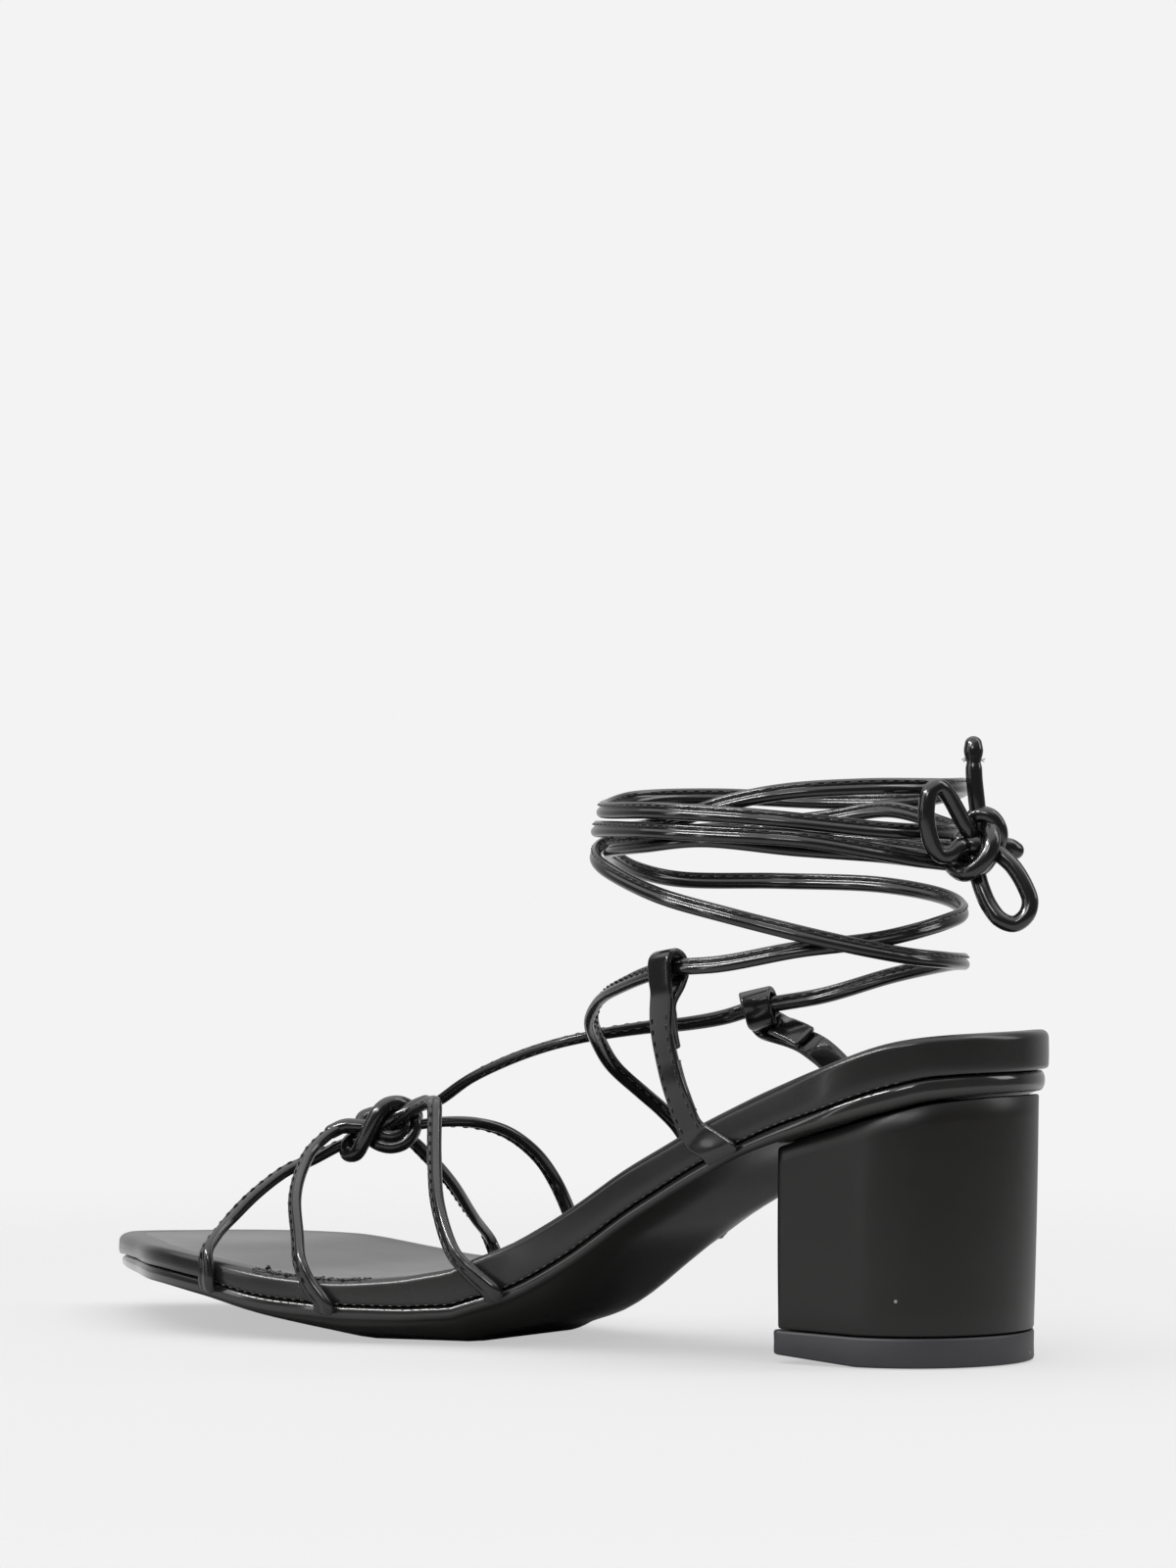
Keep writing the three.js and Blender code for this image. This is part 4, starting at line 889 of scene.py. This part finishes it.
def strapFoot(side, along, thickness, slant=0.0, tuck=1.0):
    # a strap's end: tucked into the groove, in it, and up the footbed's wall
    share = shareOnSide(side, along)
    direction = grooveDirection(share)
    square = unit(np.array([0, 0, 1.0]) - direction * direction[2])
    low = outlineAt(share, thickness / 2 + shoe["gap"] * 0.3)[0][0]
    _, groove, top = heightsAt(low[0], low[1])
    low[2] = groove
    high = low + square * (float(top) - float(groove)) * 0.75 + direction * slant
    inward = low - outlineAt(share, 1.0)[0][0] + outlineAt(share, 0.0)[0][0]
    tucked = low - square * tuck
    tucked[:2] += (inward[:2] - low[:2]) * 0.5
    return np.array([tucked, low, high])


vampValues = {
    "frontStrap": {"side": "left", "foot": 0.731, "slant": 0.5, "flip": -1, "rows": [
        (0.734, 0.51, 0.14), (0.736, 0.468, 0.21), (0.737, 0.395, 0.298), (0.729, 0.316, 0.43),
        (0.717, 0.224, 0.558), (0.704, 0.171, 0.62), (0.685, 0.105, 0.715), (0.664, 0.066, 0.765)]},
    "middleStrap": {"side": "left", "foot": 0.609, "slant": 3.2, "flip": -1, "rows": [
        (0.632, 0.505, 0.19), (0.646, 0.461, 0.308), (0.669, 0.382, 0.472), (0.685, 0.289, 0.6),
        (0.691, 0.211, 0.7), (0.683, 0.132, 0.793), (0.664, 0.092, 0.8)]},
    "rearStrap": {"side": "left", "foot": 0.457, "slant": 4, "flip": -1, "rows": [
        (0.492, 0.408, 0.25), (0.521, 0.355, 0.488), (0.547, 0.263, 0.718), (0.563, 0.197, 0.875),
        (0.572, 0.16, 0.955), (0.583, 0.128, 0.97), (0.603, 0.098, 0.94), (0.63, 0.075, 0.86),
        (0.652, 0.066, 0.79)]},
    "innerFrontStrap": {"side": "right", "foot": 0.655, "slant": 0, "flip": 1, "rows": [
        (0.659, -0.448, 0.2), (0.648, -0.316, 0.35), (0.638, -0.184, 0.518), (0.634, -0.066, 0.658),
        (0.638, 0.01, 0.755), (0.65, 0.055, 0.785), (0.668, 0.07, 0.76)]},
    "innerRearStrap": {"side": "right", "foot": 0.535, "slant": 0, "flip": 1, "rows": [
        (0.549, -0.362, 0.36), (0.559, -0.329, 0.545), (0.562, -0.25, 0.688), (0.571, -0.158, 0.798),
        (0.585, -0.079, 0.845), (0.606, -0.026, 0.85), (0.63, 0.02, 0.825), (0.65, 0.065, 0.8),
        (0.668, 0.1, 0.79)]},
}
# the knot's middle, and its wraps in millimetres to the right, up and towards the lens from it
knotMiddle = (0.652, 0.066, 0.757)
knotWraps = {
    "frontWrap": {"radius": 1.55, "rows": [
        (-3.4, 1.2, -2.8), (-5.2, 0.2, -2.4), (-6.9, -1.3, -1.2), (-6.9, -3, 0.6), (-5.2, -2.9, 2.4),
        (-3.6, -0.3, 3.6), (-2.1, 2.9, 4), (-0.5, 5.6, 3.8), (1.2, 6.9, 3), (3.4, 7.1, 1.6),
        (5.3, 6.2, -0.4), (6.6, 4.5, -2.2), (6.2, 2.6, -3)]},
    "rearOuter": {"radius": 1.5, "rows": [
        (3.6, 6.0, -2.4), (5.1, 5.6, -1), (6.5, 3.5, 0.4), (6.1, 1.2, 1.2), (4.3, -0.8, 1.6),
        (1.8, -1.5, 1.7), (-0.6, -1, 1.4), (-2.6, 0.3, 0.2), (-4.2, 2.2, -1.6), (-3.8, 3.9, -2.6),
        (-2, 4.7, -2.6)]},
    "rearInner": {"radius": 1.45, "rows": [
        (4.4, 5.4, -1.4), (4.7, 3.9, 0.2), (4.3, 2, 1.6), (2.6, 0.8, 2.2), (0.4, 1, 2), (-1.2, 2.3, 0.6),
        (-1.4, 3.6, -1)]},
    "core": {"radius": 1.5, "rows": [
        (-2.6, 1.4, -0.8), (-0.8, 2.3, 0.5), (1.6, 3.8, 2), (4.4, 5.2, 2.6), (6.7, 6.5, 2.4),
        (8.7, 7.3, 2)]},
    "frontBundle": {"radius": 1.45, "rows": [
        (-10.2, 1.3, 0), (-7.5, 2.5, 0.4), (-4.7, 2.5, 0.8), (-1.9, 2.3, 0.8), (0.6, 2.6, 0.2)]},
}
heading = math.radians(cameraValues["heading"])
lensRight = np.array([-math.cos(heading), -math.sin(heading), 0])
lensBack = np.array([-math.sin(heading), math.cos(heading), 0])
lensUp = np.array([0, 0, 1.0])


def asSeen(rows):
    # from millimetres to the right, up and towards the lens to the shoe's own directions
    return np.asarray(rows, float) @ np.stack([lensRight, lensUp, lensBack])


vampShape = {
    "spacing": 0.7, "evening": 25, "stitched": (0.1, 0.93),
    "footLength": (1, 9), "footSpread": 0.35, "footTurn": 0.85,  # the foot lies along the groove and is wider
    "knotSpacing": 0.4, "knotFacing": 1.5,
}


def makeVamp(shape):
    parts = []
    for values in vampValues.values():
        foot = strapFoot(values["side"], values["foot"], shoe["strapThickness"], values["slant"])
        path = splinePath(np.vstack([foot, overSole(values["rows"])]), spacing=shape["spacing"])
        low = 1 - smoothstep(np.arange(len(path)) * shape["spacing"], *shape["footLength"])
        along = grooveDirection(shareOnSide(values["side"], values["foot"]))
        parts += carryStrap(path, outOfFoot(path, shape["evening"]), values["flip"], *shape["stitched"],
                            spread=1 + shape["footSpread"] * low, footSide=(along, low * shape["footTurn"]))
    middle = overSole([knotMiddle])[0]
    for values in knotWraps.values():
        path = splinePath(middle + asSeen(values["rows"]), spacing=shape["knotSpacing"])
        out = unit(path - middle + lensBack * shape["knotFacing"])
        parts.append(carryProfile(path, out, tubeProfile(values["radius"]), material["strapLeather"]))
    makePiece("vampStraps", parts, "straps", "vamp_straps")


makeVamp(vampShape)
print("vamp straps ready")


# Thread in the groove, and the lining's torn edge under the front straps

grooveValues = {
    "start": 0.06, "end": 0.72,  # shares of the length, left side
    "pitch": 1.9, "stitch": 0.8, "thread": 0.09, "inset": 0.05, "rise": 0.3, "out": 0.1,
}
tornValues = {
    "start": 0.575, "end": 0.685, "inset": 1.7, "radius": 0.3, "seed": 3,
    "sway": (0.2, 0.9, 0.25), "thinnest": 0.35, "swell": 1.3,
    "crumbs": [("wallLeather", 70), ("cutEdgeAndHighlight", 35)], "crumb": (0.9, 0.13),
    "crumbSpread": (0.5, 0.8, 0.05), "crumbRise": 0.12, "crumbTilt": 0.3,
    "fleckAlong": 0.677, "fleckInset": 3.4, "fleckRise": 0.35, "fleck": (1.44, 0.48),
}


def alongLeft(start, end, inset, level, rise, count):
    # points over the footbed's left edge, a rise above level 1, the groove, or level 2, the footbed's top
    shares = np.linspace(shareOnSide("left", start), shareOnSide("left", end), count)
    line = outlineAt(shares, -inset * np.ones(count))[0]
    line[:, 2] = heightsAt(line[:, 0], line[:, 1])[level] + rise
    return line


def makeGrooveThread(values):
    line = alongLeft(values["start"], values["end"], values["inset"], 1, values["rise"], 500)
    row = stitchRow(line, lensBack + 0 * line, 0, values["out"], values, material["cutEdgeAndHighlight"])
    makePiece("grooveThread", [row], "footbed")


def makeTornLining(values, count=90):
    # an uneven ridge of lifted lining with crumbs about it, and one loose fleck
    draw = np.random.default_rng(values["seed"])
    line = alongLeft(values["start"], values["end"], values["inset"], 2, 0.0, count)
    sway = evenly(draw.normal(0, 1, (count, 3)), 5) * values["sway"]
    grow = values["thinnest"] + evenly(draw.random(count), 3) * values["swell"]
    parts = [carryProfile(line + sway, lensUp + 0 * line, tubeProfile(values["radius"], 8),
                          material["wallLeather"], grow=grow)]
    for finish, crumbs in values["crumbs"]:
        centres = line[draw.integers(0, count, crumbs)]
        centres = centres + draw.normal(0, 1, (crumbs, 3)) * values["crumbSpread"]
        turn = draw.random(crumbs) * np.pi
        xs = np.stack([np.cos(turn), np.sin(turn), values["crumbTilt"] * draw.normal(0, 1, crumbs)], 1)
        ys = unit(np.cross(lensUp[None], xs))
        parts.append(scatterForms(threadForm(*values["crumb"]), centres + lensUp * values["crumbRise"],
                                  xs, ys, unit(np.cross(xs, ys)), material[finish]))
    spot = alongLeft(values["fleckAlong"], values["fleckAlong"] + 0.001, values["fleckInset"], 2,
                     values["fleckRise"], 2)[:1]
    parts.append(scatterForms(threadForm(*values["fleck"]), spot, lensRight[None], lensBack[None],
                              lensUp[None], material["wallLeather"]))
    makePiece("tornLining", parts, "footbed")


makeGrooveThread(grooveValues)
makeTornLining(tornValues)
print("groove thread and torn lining ready")


# Ankle ties

outerTie = {
    "start": [
        (0.619, 0.024, 0.93), (0.606, 0.013, 0.957), (0.565, 0.026, 1.085), (0.507, 0.013, 1.205),
        (0.451, -0.013, 1.2), (0.411, -0.118, 1.135), (0.39, -0.211, 1.08), (0.368, -0.29, 1.03)],
    "windings": [  # degrees from the toe side towards the left, share of the rise, thicknesses outside
        (307, 0.05, 0), (286, 0.1, 0.3), (262, 0.19, 0.3), (232, 0.255, 0.3), (207, 0.27, 0.3),
        (180, 0.285, 0.6), (158, 0.31, 1), (136, 0.365, 1), (104, 0.47, 0.7), (76, 0.56, 0.7),
        (45, 0.667, 1), (20, 0.735, 1), (-5, 0.775, 0.7), (-40, 0.81, 0.5), (-75, 0.86, 0), (-99, 0.9, 0),
        (-127, 0.84, 0), (-155, 0.81, 0), (-180, 0.81, 0.3), (-210, 0.825, 0.8), (-247, 0.875, 0.8),
        (-280, 0.9, 0.9), (-315, 0.9, 0.7), (-340, 0.91, 0.5), (-365, 0.945, 0.5), (-400, 0.955, 0.3),
        (-435, 0.935, 0.3), (-465, 0.94, 0.5), (-490, 0.975, 0.5), (-512, 1, 0.3), (-540, 1, 0.3),
        (-575, 1, 0.1), (-600, 0.98, 0), (-618, 0.935, 0), (-635, 0.87, 0), (-655, 0.825, 0),
        (-690, 0.82, 0.2), (-725, 0.81, 0), (-760, 0.8, 0), (-800, 0.77, 0.2), (-840, 0.745, 0.2),
        (-868, 0.735, 0.6), (-883, 0.735, 1)],
    "end": (4.7, -2.6, 0.4),
}
innerTie = {
    "foot": 0.372,
    "start": [
        (0.392, -0.29, 0.36), (0.411, -0.276, 0.618), (0.421, -0.237, 0.747), (0.43, -0.184, 0.862),
        (0.44, -0.092, 1.025), (0.436, 0, 1.15), (0.421, 0.092, 1.21), (0.39, 0.184, 1.22),
        (0.349, 0.276, 1.14)],
    "windings": [
        (80, 0.25, 0), (100, 0.275, 0), (124, 0.335, 0), (151, 0.375, 0), (180, 0.435, 0), (207, 0.48, 0.2),
        (235, 0.535, 0.2), (266, 0.58, 0), (300, 0.592, 0), (335, 0.6, 0), (357, 0.645, 0), (380, 0.71, 0),
        (405, 0.74, 0.2), (430, 0.76, 0.4), (454, 0.785, 0.3), (483, 0.75, 0), (510, 0.725, -0.1),
        (545, 0.69, -0.3), (575, 0.705, -0.2), (620, 0.745, 0), (665, 0.785, 0.2), (705, 0.81, 0.5),
        (747, 0.82, 0.9), (792, 0.82, 0.8), (815, 0.81, 1), (846, 0.785, 1.1), (868, 0.735, 1.1),
        (882, 0.705, 1.2)],
    "end": (4.6, 2.4, -2.3),
}
bowMiddle = np.array([shoe["anklePlace"] - shoe["ankleLength"] / 2 - 9.5, 1.0, seatTop + 34])
tieShape = {
    "spacing": 0.9, "evening": 15, "stitched": (0.02, 0.98), "freeEnds": 0.1,
    "level": 3.3, "apart": 2.3, "near": (3.1, 1.6, 6),  # nearness in height, along and outward
    "skip": 14, "rounds": 60, "step": 0.3, "limits": (-1.6, 2.6),
    "frontHeights": (28, 36), "frontReach": (1, 18), "frontIn": 0.9,
}


def aroundAnkle(rows):
    rows = np.asarray(rows, float)
    angle = np.radians(rows[:, 0])
    outward = (rows[:, 2] + 0.5) * shoe["strapThickness"]
    return np.stack([
        shoe["anklePlace"] + (shoe["ankleLength"] / 2 + outward) * np.cos(angle),
        (shoe["ankleWidth"] / 2 + outward) * np.sin(angle),
        seatTop + rows[:, 1] * shoe["tieRise"]], 1)


def partTies(paths, shape):
    # where two stretches lie over each other, the outer one moves out and the inner one in,
    # until they are a strap's thickness apart; the moves are then evened along each strap
    points = np.vstack(paths)
    bounds = np.cumsum([0] + [len(path) for path in paths])
    owner = np.repeat(np.arange(len(paths)), np.diff(bounds))
    order = np.arange(len(points))
    free = np.concatenate([1 - smoothstep(np.abs(np.linspace(-1, 1, len(path))), 1 - shape["freeEnds"], 1.0)
                           for path in paths])
    offset = points[:, :2] - [shoe["anklePlace"], 0.0]
    away = unit(offset)
    reach = np.linalg.norm(offset, axis=1)
    apart = (owner[:, None] != owner[None]) | (np.abs(order[:, None] - order[None]) > shape["skip"])
    level = np.abs(points[:, None, 2] - points[None, :, 2])
    flat = points[:, None, :2] - points[None, :, :2]
    radial = (flat * away[:, None]).sum(-1)
    beside = np.sqrt(np.maximum((flat ** 2).sum(-1) - radial ** 2, 0))
    high, along, outward = shape["near"]
    i, j = np.nonzero(apart & (level < high) & (beside < along) & (np.abs(radial) < outward))
    need = shape["apart"] * np.sqrt(1 - (level[i, j] / shape["level"]) ** 2)
    outer = np.sign(reach[i] - reach[j] + 1e-4 * (i - j))
    moved = np.zeros(len(points))
    for _ in range(shape["rounds"]):
        now = (reach + moved)[i] - (reach + moved)[j]
        lack = np.maximum(need - now * outer, 0) * shape["step"] * outer
        push = np.bincount(i, lack, len(points))
        count = np.bincount(i, lack != 0, len(points))
        moved += push / np.maximum(count, 1)
        for start, stop in zip(bounds, bounds[1:]):
            moved[start:stop] = evenly(evenly(moved[start:stop], 5), 5)
        moved = np.clip(moved, *shape["limits"]) * free
    points[:, :2] += away * moved[:, None]
    return np.split(points, bounds[1:-1])


def makeTies(shape):
    foot = strapFoot("right", innerTie["foot"], shoe["strapThickness"])
    paths = [splinePath(np.vstack([*start, overSole(tie["start"]), aroundAnkle(tie["windings"]),
                                   bowMiddle + np.array(tie["end"])]), spacing=shape["spacing"])
             for tie, start in ((outerTie, []), (innerTie, [foot]))]
    paths = partTies(paths, shape)
    parts = []
    for path, flip in zip(paths, (1, -1)):
        # the turn at the front lies a little closer to the ankle
        reach = path @ lensRight
        high = smoothstep(path[:, 2] - shoe["tieRise"], *shape["frontHeights"])
        front = 1 - smoothstep(reach - reach[high > 0.5].min(), *shape["frontReach"])
        path += lensRight * (high * front * shape["frontIn"])[:, None]
        parts += carryStrap(path, outOfFoot(path, shape["evening"]), flip, *shape["stitched"])
    makePiece("ankleTies", parts, "straps", "ankle_ties")
    return paths


outerPath, innerPath = makeTies(tieShape)
print("ankle ties ready")


# Stays

stayValues = {
    "width": 5.2, "thickness": 1.3, "corner": 0.42, "loopOut": 1.8, "loopUp": 2.2,
    "fold": [(1, -1.7), (1, -0.4), (0.78, 0.72), (0, 1.05), (-0.78, 0.72), (-1, -0.25), (-0.5, -1.15)],
    "spacing": 0.45, "riseSpacing": 0.5, "turnedBy": 0.8,
    "footSpread": 0.5, "footLength": (1.5, 12), "loopAfter": 6, "loopReach": 5,
    "tab": (2.5, 5.5, 8.5, 11.0), "tabLift": 1.02,  # millimetres below the loop
    "patch": (24, 13.5), "patchThickness": 0.7, "patchWidth": 4.6, "patchCorner": 0.3, "patchLift": 0.48,
    "pitch": 2.2, "stitch": 1.5, "thread": 0.14, "stitchPlace": 1.85, "stitched": (0.12, 0.97),
    # the edge lines' radius, start and lift are for the pale lines painted as highlight along the band's
    # edges
    "edgeHighlight": 0.16, "endThread": 0.192, "edgeFrom": 6, "edgeLift": 0.2, "endLift": (0.1, 0.2),
}
stayRows = {  # foot, slant up the wall, loop's place and widening; way up, bulges forward and outward
    "left": {"foot": 0.229, "slant": 4, "loop": (80, 0.25, 0), "wide": 0.1,
             "rows": [(0.3, 0.14, 0.045), (0.49, 0.145, 0.04), (0.68, 0.12, 0.045)]},
    "right": {"foot": 0.224, "slant": 0, "loop": (307, 0.05, 0), "wide": 0.42,
              "rows": [(0.3, -0.1, 0.05), (0.5, -0.13, 0.06), (0.7, -0.1, 0.05)]},
}


def bandProfile(width, thickness, corner):
    # a flat band with rounded corners
    turn = np.radians(np.linspace(0, 90, 5))
    x, y = width / 2 - corner, thickness / 2 - corner
    quarter = [(x + corner * math.cos(a), y + corner * math.sin(a)) for a in turn]
    upper = quarter + [(0.0, thickness / 2 * 1.02)] + [(-a, b) for a, b in quarter[::-1]]
    return np.array(upper + [(-a, -b) for a, b in upper])


def stayRoute(side, tie, values):
    # from the groove up to the tie, around it and back down; gives the way up and a rule for its outside
    row = stayRows[side]
    sign = 1 if side == "left" else -1
    footRows = strapFoot(side, row["foot"], values["thickness"], row["slant"])
    low = footRows[1]
    best = np.linalg.norm(tie - aroundAnkle([row["loop"]])[0], axis=1).argmin()
    crossing = tie[best]
    along = unit(tie[best + 1] - tie[best - 1])
    way = crossing - low
    reach = np.linalg.norm(way)
    rising = [low + way * part + np.array([forward * reach, sign * out * reach, 0])
              for part, forward, out in row["rows"]]
    out = outOfFoot(crossing[None], 1)[0]
    out = unit(out - along * out.dot(along))
    up = np.cross(along, out)
    up *= 1 if up[2] > 0 else -1
    outBy, upBy = (values[word] + values["thickness"] / 2 for word in ("loopOut", "loopUp"))
    fold = [crossing + out * o * outBy + up * u * upBy for o, u in values["fold"]]
    rise = splinePath(np.vstack([footRows[1:], rising, fold[:1]]), spacing=values["riseSpacing"])
    footSide = grooveDirection(shareOnSide(side, row["foot"]))
    along = along if footSide.dot(along) > 0 else -along

    def outwardOf(path):
        tangent = unit(np.gradient(path, axis=0))
        part = np.clip((path[:, 2] - low[2]) / (crossing[2] - low[2]), 0, 1)
        blend = smoothstep(part, 0, values["turnedBy"])[:, None]
        return np.cross(squareTo(tangent, footSide * (1 - blend) + along * blend), tangent)

    return rise, np.vstack([footRows, rising, fold]), footSide, outwardOf


def makeStay(side, tie, values):
    # rises from the groove, folds over its tie and runs back down behind itself
    leather, cutAndHighlight = material["strapLeather"], material["cutEdgeAndHighlight"]
    thick, step = values["thickness"], values["spacing"]
    rise, rows, footSide, outwardOf = stayRoute(side, tie, values)
    outward = outwardOf(rise)
    behind = outward * np.where(outward[:, 1:2] * (1 if side == "left" else -1) > 0, -1, 1)
    backs = [-1 - int(back / values["riseSpacing"]) for back in values["tab"]]
    tab = [rise[k] + behind[k] * thick * values["tabLift"] for k in backs]
    path = splinePath(np.vstack([rows, tab]), spacing=step)
    facing = outwardOf(path)
    down = 1 - smoothstep(np.arange(len(path)) * step, *values["footLength"])
    fromLoop = np.arange(len(path)) * step - len(rise) * values["riseSpacing"] - values["loopAfter"]
    wide = stayRows[side]["wide"] * np.exp(-(fromLoop / values["loopReach"]) ** 2)
    section = bandProfile(values["width"], thick, values["corner"])
    parts = [carryProfile(path, facing, section, leather,
                          spread=1 + values["footSpread"] * down + wide, footSide=(footSide, down))]
    start, end = (-1 - int(back / values["riseSpacing"]) for back in values["patch"])
    patch = rise[start:end] + behind[start:end] * (thick + values["patchThickness"]) * values["patchLift"]
    section = bandProfile(values["patchWidth"], values["patchThickness"], values["patchCorner"])
    parts.append(carryProfile(patch, outward[start:end], section, leather))
    first, last = values["stitched"]
    for place in (values["stitchPlace"], -values["stitchPlace"]):
        parts += stitchFaces(path, facing, place, thick * 0.5, values, first, len(rise) / len(path) * last)
    tangent, across, out = pathFrames(path, facing)
    patchAcross = pathFrames(patch, outward[start:end])[1]
    tabLift, patchLift = values["endLift"]
    ends = [(path[-1] + tangent[-1] * tabLift, across[-1], values["width"])]
    ends += [(patch[k] + behind[start] * patchLift, patchAcross[k], values["patchWidth"]) for k in (0, -1)]
    for middle, aside, width in ends:  # the cut ends of the tab and of the patch
        line = middle + aside * np.linspace(-0.48, 0.48, 8)[:, None] * width
        facing = out[-1:] + 0 * line
        parts.append(carryProfile(line, facing, tubeProfile(values["endThread"], 6), cutAndHighlight))
    # pale lines along both edges of the band: painted highlight on its edges
    stretch = slice(int(values["edgeFrom"] / step), None)
    for place in (0.5, -0.5):
        line = (path + across * place * values["width"] + out * thick * values["edgeLift"])[stretch]
        parts.append(carryProfile(line, out[stretch], tubeProfile(values["edgeHighlight"], 6), cutAndHighlight))
    makePiece("stay" + side.capitalize(), parts, "straps", "stay_" + side)


makeStay("left", innerPath, stayValues)
makeStay("right", outerPath, stayValues)
print("stays ready")


# Bow: each tie leaves the knot in a loop, comes back through it and ends free

bowValues = {
    "radius": 1.6, "spacing": 0.5, "wrapSpacing": 0.4,
    # near the end: thicker by a share, at a distance, over a width
    "cap": [(-0.16, 3.4, 0.7), (0.16, 1.2, 1.1)],
    "upper": [  # millimetres from the knot's middle
        (3.4, -2.4, 0.4), (1.6, 0.6, 0.9), (0.4, 3.4, 0.8), (0.3, 5.3, 0.7), (1, 6.6, -0.5),
        (2.4, 8.2, -0.9), (3.2, 10.2, 1.2), (3.4, 11.6, 4.4), (3.3, 12.1, 8), (3, 11.3, 11.1),
        (2.2, 9.5, 12), (1.6, 7.2, 10.4), (0.8, 5.1, 7.4), (0.1, 3.4, 4.6), (-0.4, 1.4, 2.6),
        (-0.7, -0.4, 2.6), (-0.7, -0.4, 4.6), (-0.7, 0.1, 7), (-0.7, 0.8, 10.4), (-0.5, 1.1, 13.5),
        (-0.3, 1, 16.7), (0, 0.6, 20.0)],
    "lower": [
        (3.6, 2.0, -1.9), (1.4, 1.4, -1.2), (-0.4, 1.2, -1.9), (-1.2, 1.2, -4.3), (-2.6, 1.8, -7.3),
        (-4.2, 1.9, -10.3), (-6.5, 1.5, -13), (-8.6, 0.1, -13.8), (-10.4, -1.2, -12.3), (-10.8, -2.1, -9.7),
        (-9.8, -2, -6.8), (-7.3, -1.5, -2.9), (-4.3, -0.9, -0.3), (-2.4, -1.4, 1.2), (-1.7, -2.8, 1.4),
        (-2.4, -4.1, 1.2), (-3.2, -5.6, 0.8), (-3.8, -6.8, 0.3), (-4.3, -7.7, -0.1)],
    "frayBack": 3.4, "frayRadius": 0.08,
    "frays": [(-2.3, 0.1, 0.6), (-2.0, -0.3, 1.0), (-1.9, 0.4, 0.2), (2.1, 0.2, 0.5), (1.9, -0.3, 1.0)],
    "wraps": {  # radius, then millimetres to the right, up and towards the lens
        "bowFront": (1.75, [
            (0.2, 6.4, -2.6), (1.8, 5.9, -1.5), (2.8, 4, 2), (2.8, 1.9, 4.4), (2.2, -0.3, 5.2),
            (0.7, -2.5, 5.3), (-1.5, -4, 4.6), (-3.4, -3.7, 2.8), (-4.3, -2.3, 0.4), (-4.0, -0.6, -1.6)]),
        "bowRing": (1.6, [
            (-1.4, 4.2, 1.2), (-0.6, 5.9, 0.5), (1, 6.8, 1.2), (2.9, 6.3, 1.6), (4.2, 4.6, 1.4),
            (4.6, 2.6, 0.8), (4.1, 0.7, -0.4), (2.9, -0.8, -2)]),
        "bowCore": (2.1, [(-2.6, 1.6, 0.4), (-1.2, 1.2, 1.4), (0.6, 0.8, 1.6), (2.2, 0.6, 0.4)]),
        "bowLow": (1.5, [
            (3.0, -1.4, -1.0), (1.6, -3.0, 0.6), (-0.4, -4.2, 1.4), (-2.6, -4.4, 0.8), (-4.2, -3.2, -0.8)]),
    },
}


def steadyOutward(path, start):
    # a direction carried along the path so that the section doesn't twist
    tangent = unit(np.gradient(path, axis=0))
    out = np.empty_like(path)
    now = np.asarray(start, float)
    for k in range(len(path)):
        now = now - tangent[k] * now.dot(tangent[k])
        now = now / np.linalg.norm(now)
        out[k] = now
    return out


def makeFrays(root, values):
    # threads frayed out below the end's cap
    parts = []
    for right, up, back in values["frays"]:
        reach = asSeen([(0, 0, 0), (right * 0.6, up * 0.2, back), (right, up, back)])
        line = splinePath(root + reach, spacing=0.3)
        parts.append(carryProfile(line, lensBack + 0 * line, tubeProfile(values["frayRadius"], 6),
                                  material["cutEdgeAndHighlight"]))
    return parts


def makeBow(values):
    radius, step = values["radius"], values["spacing"]
    wraps = []
    for thick, rows in values["wraps"].values():
        path = splinePath(bowMiddle + asSeen(rows), spacing=values["wrapSpacing"])
        out = steadyOutward(path, lensBack)
        wraps.append(carryProfile(path, out, tubeProfile(thick), material["strapLeather"]))
    knot = makePiece("bowKnotWraps", wraps, "straps", "bow_knot")
    for name, nodes, start in (("upper", ("bow_loop_upper", "tie_end_upper"), (0, 0, 1)),
                               ("lower", ("bow_loop_lower", "tie_end_lower"), (0, 1, 0))):
        path = splinePath(bowMiddle + np.array(values[name], float), spacing=step)
        fromEnd = (len(path) - 1 - np.arange(len(path))) * step
        grow = 1 + sum(share * np.exp(-((fromEnd - place) / width) ** 2)
                       for share, place, width in values["cap"])
        out = steadyOutward(path, start)
        parts = [carryProfile(path, out, tubeProfile(radius), material["strapLeather"], grow=grow)]
        if name == "upper":
            parts += makeFrays(path[-1 - int(values["frayBack"] / step)], values)
        cord = makePiece("bow" + name.capitalize(), parts, "straps", *nodes)


makeBow(bowValues)
print("bow ready")
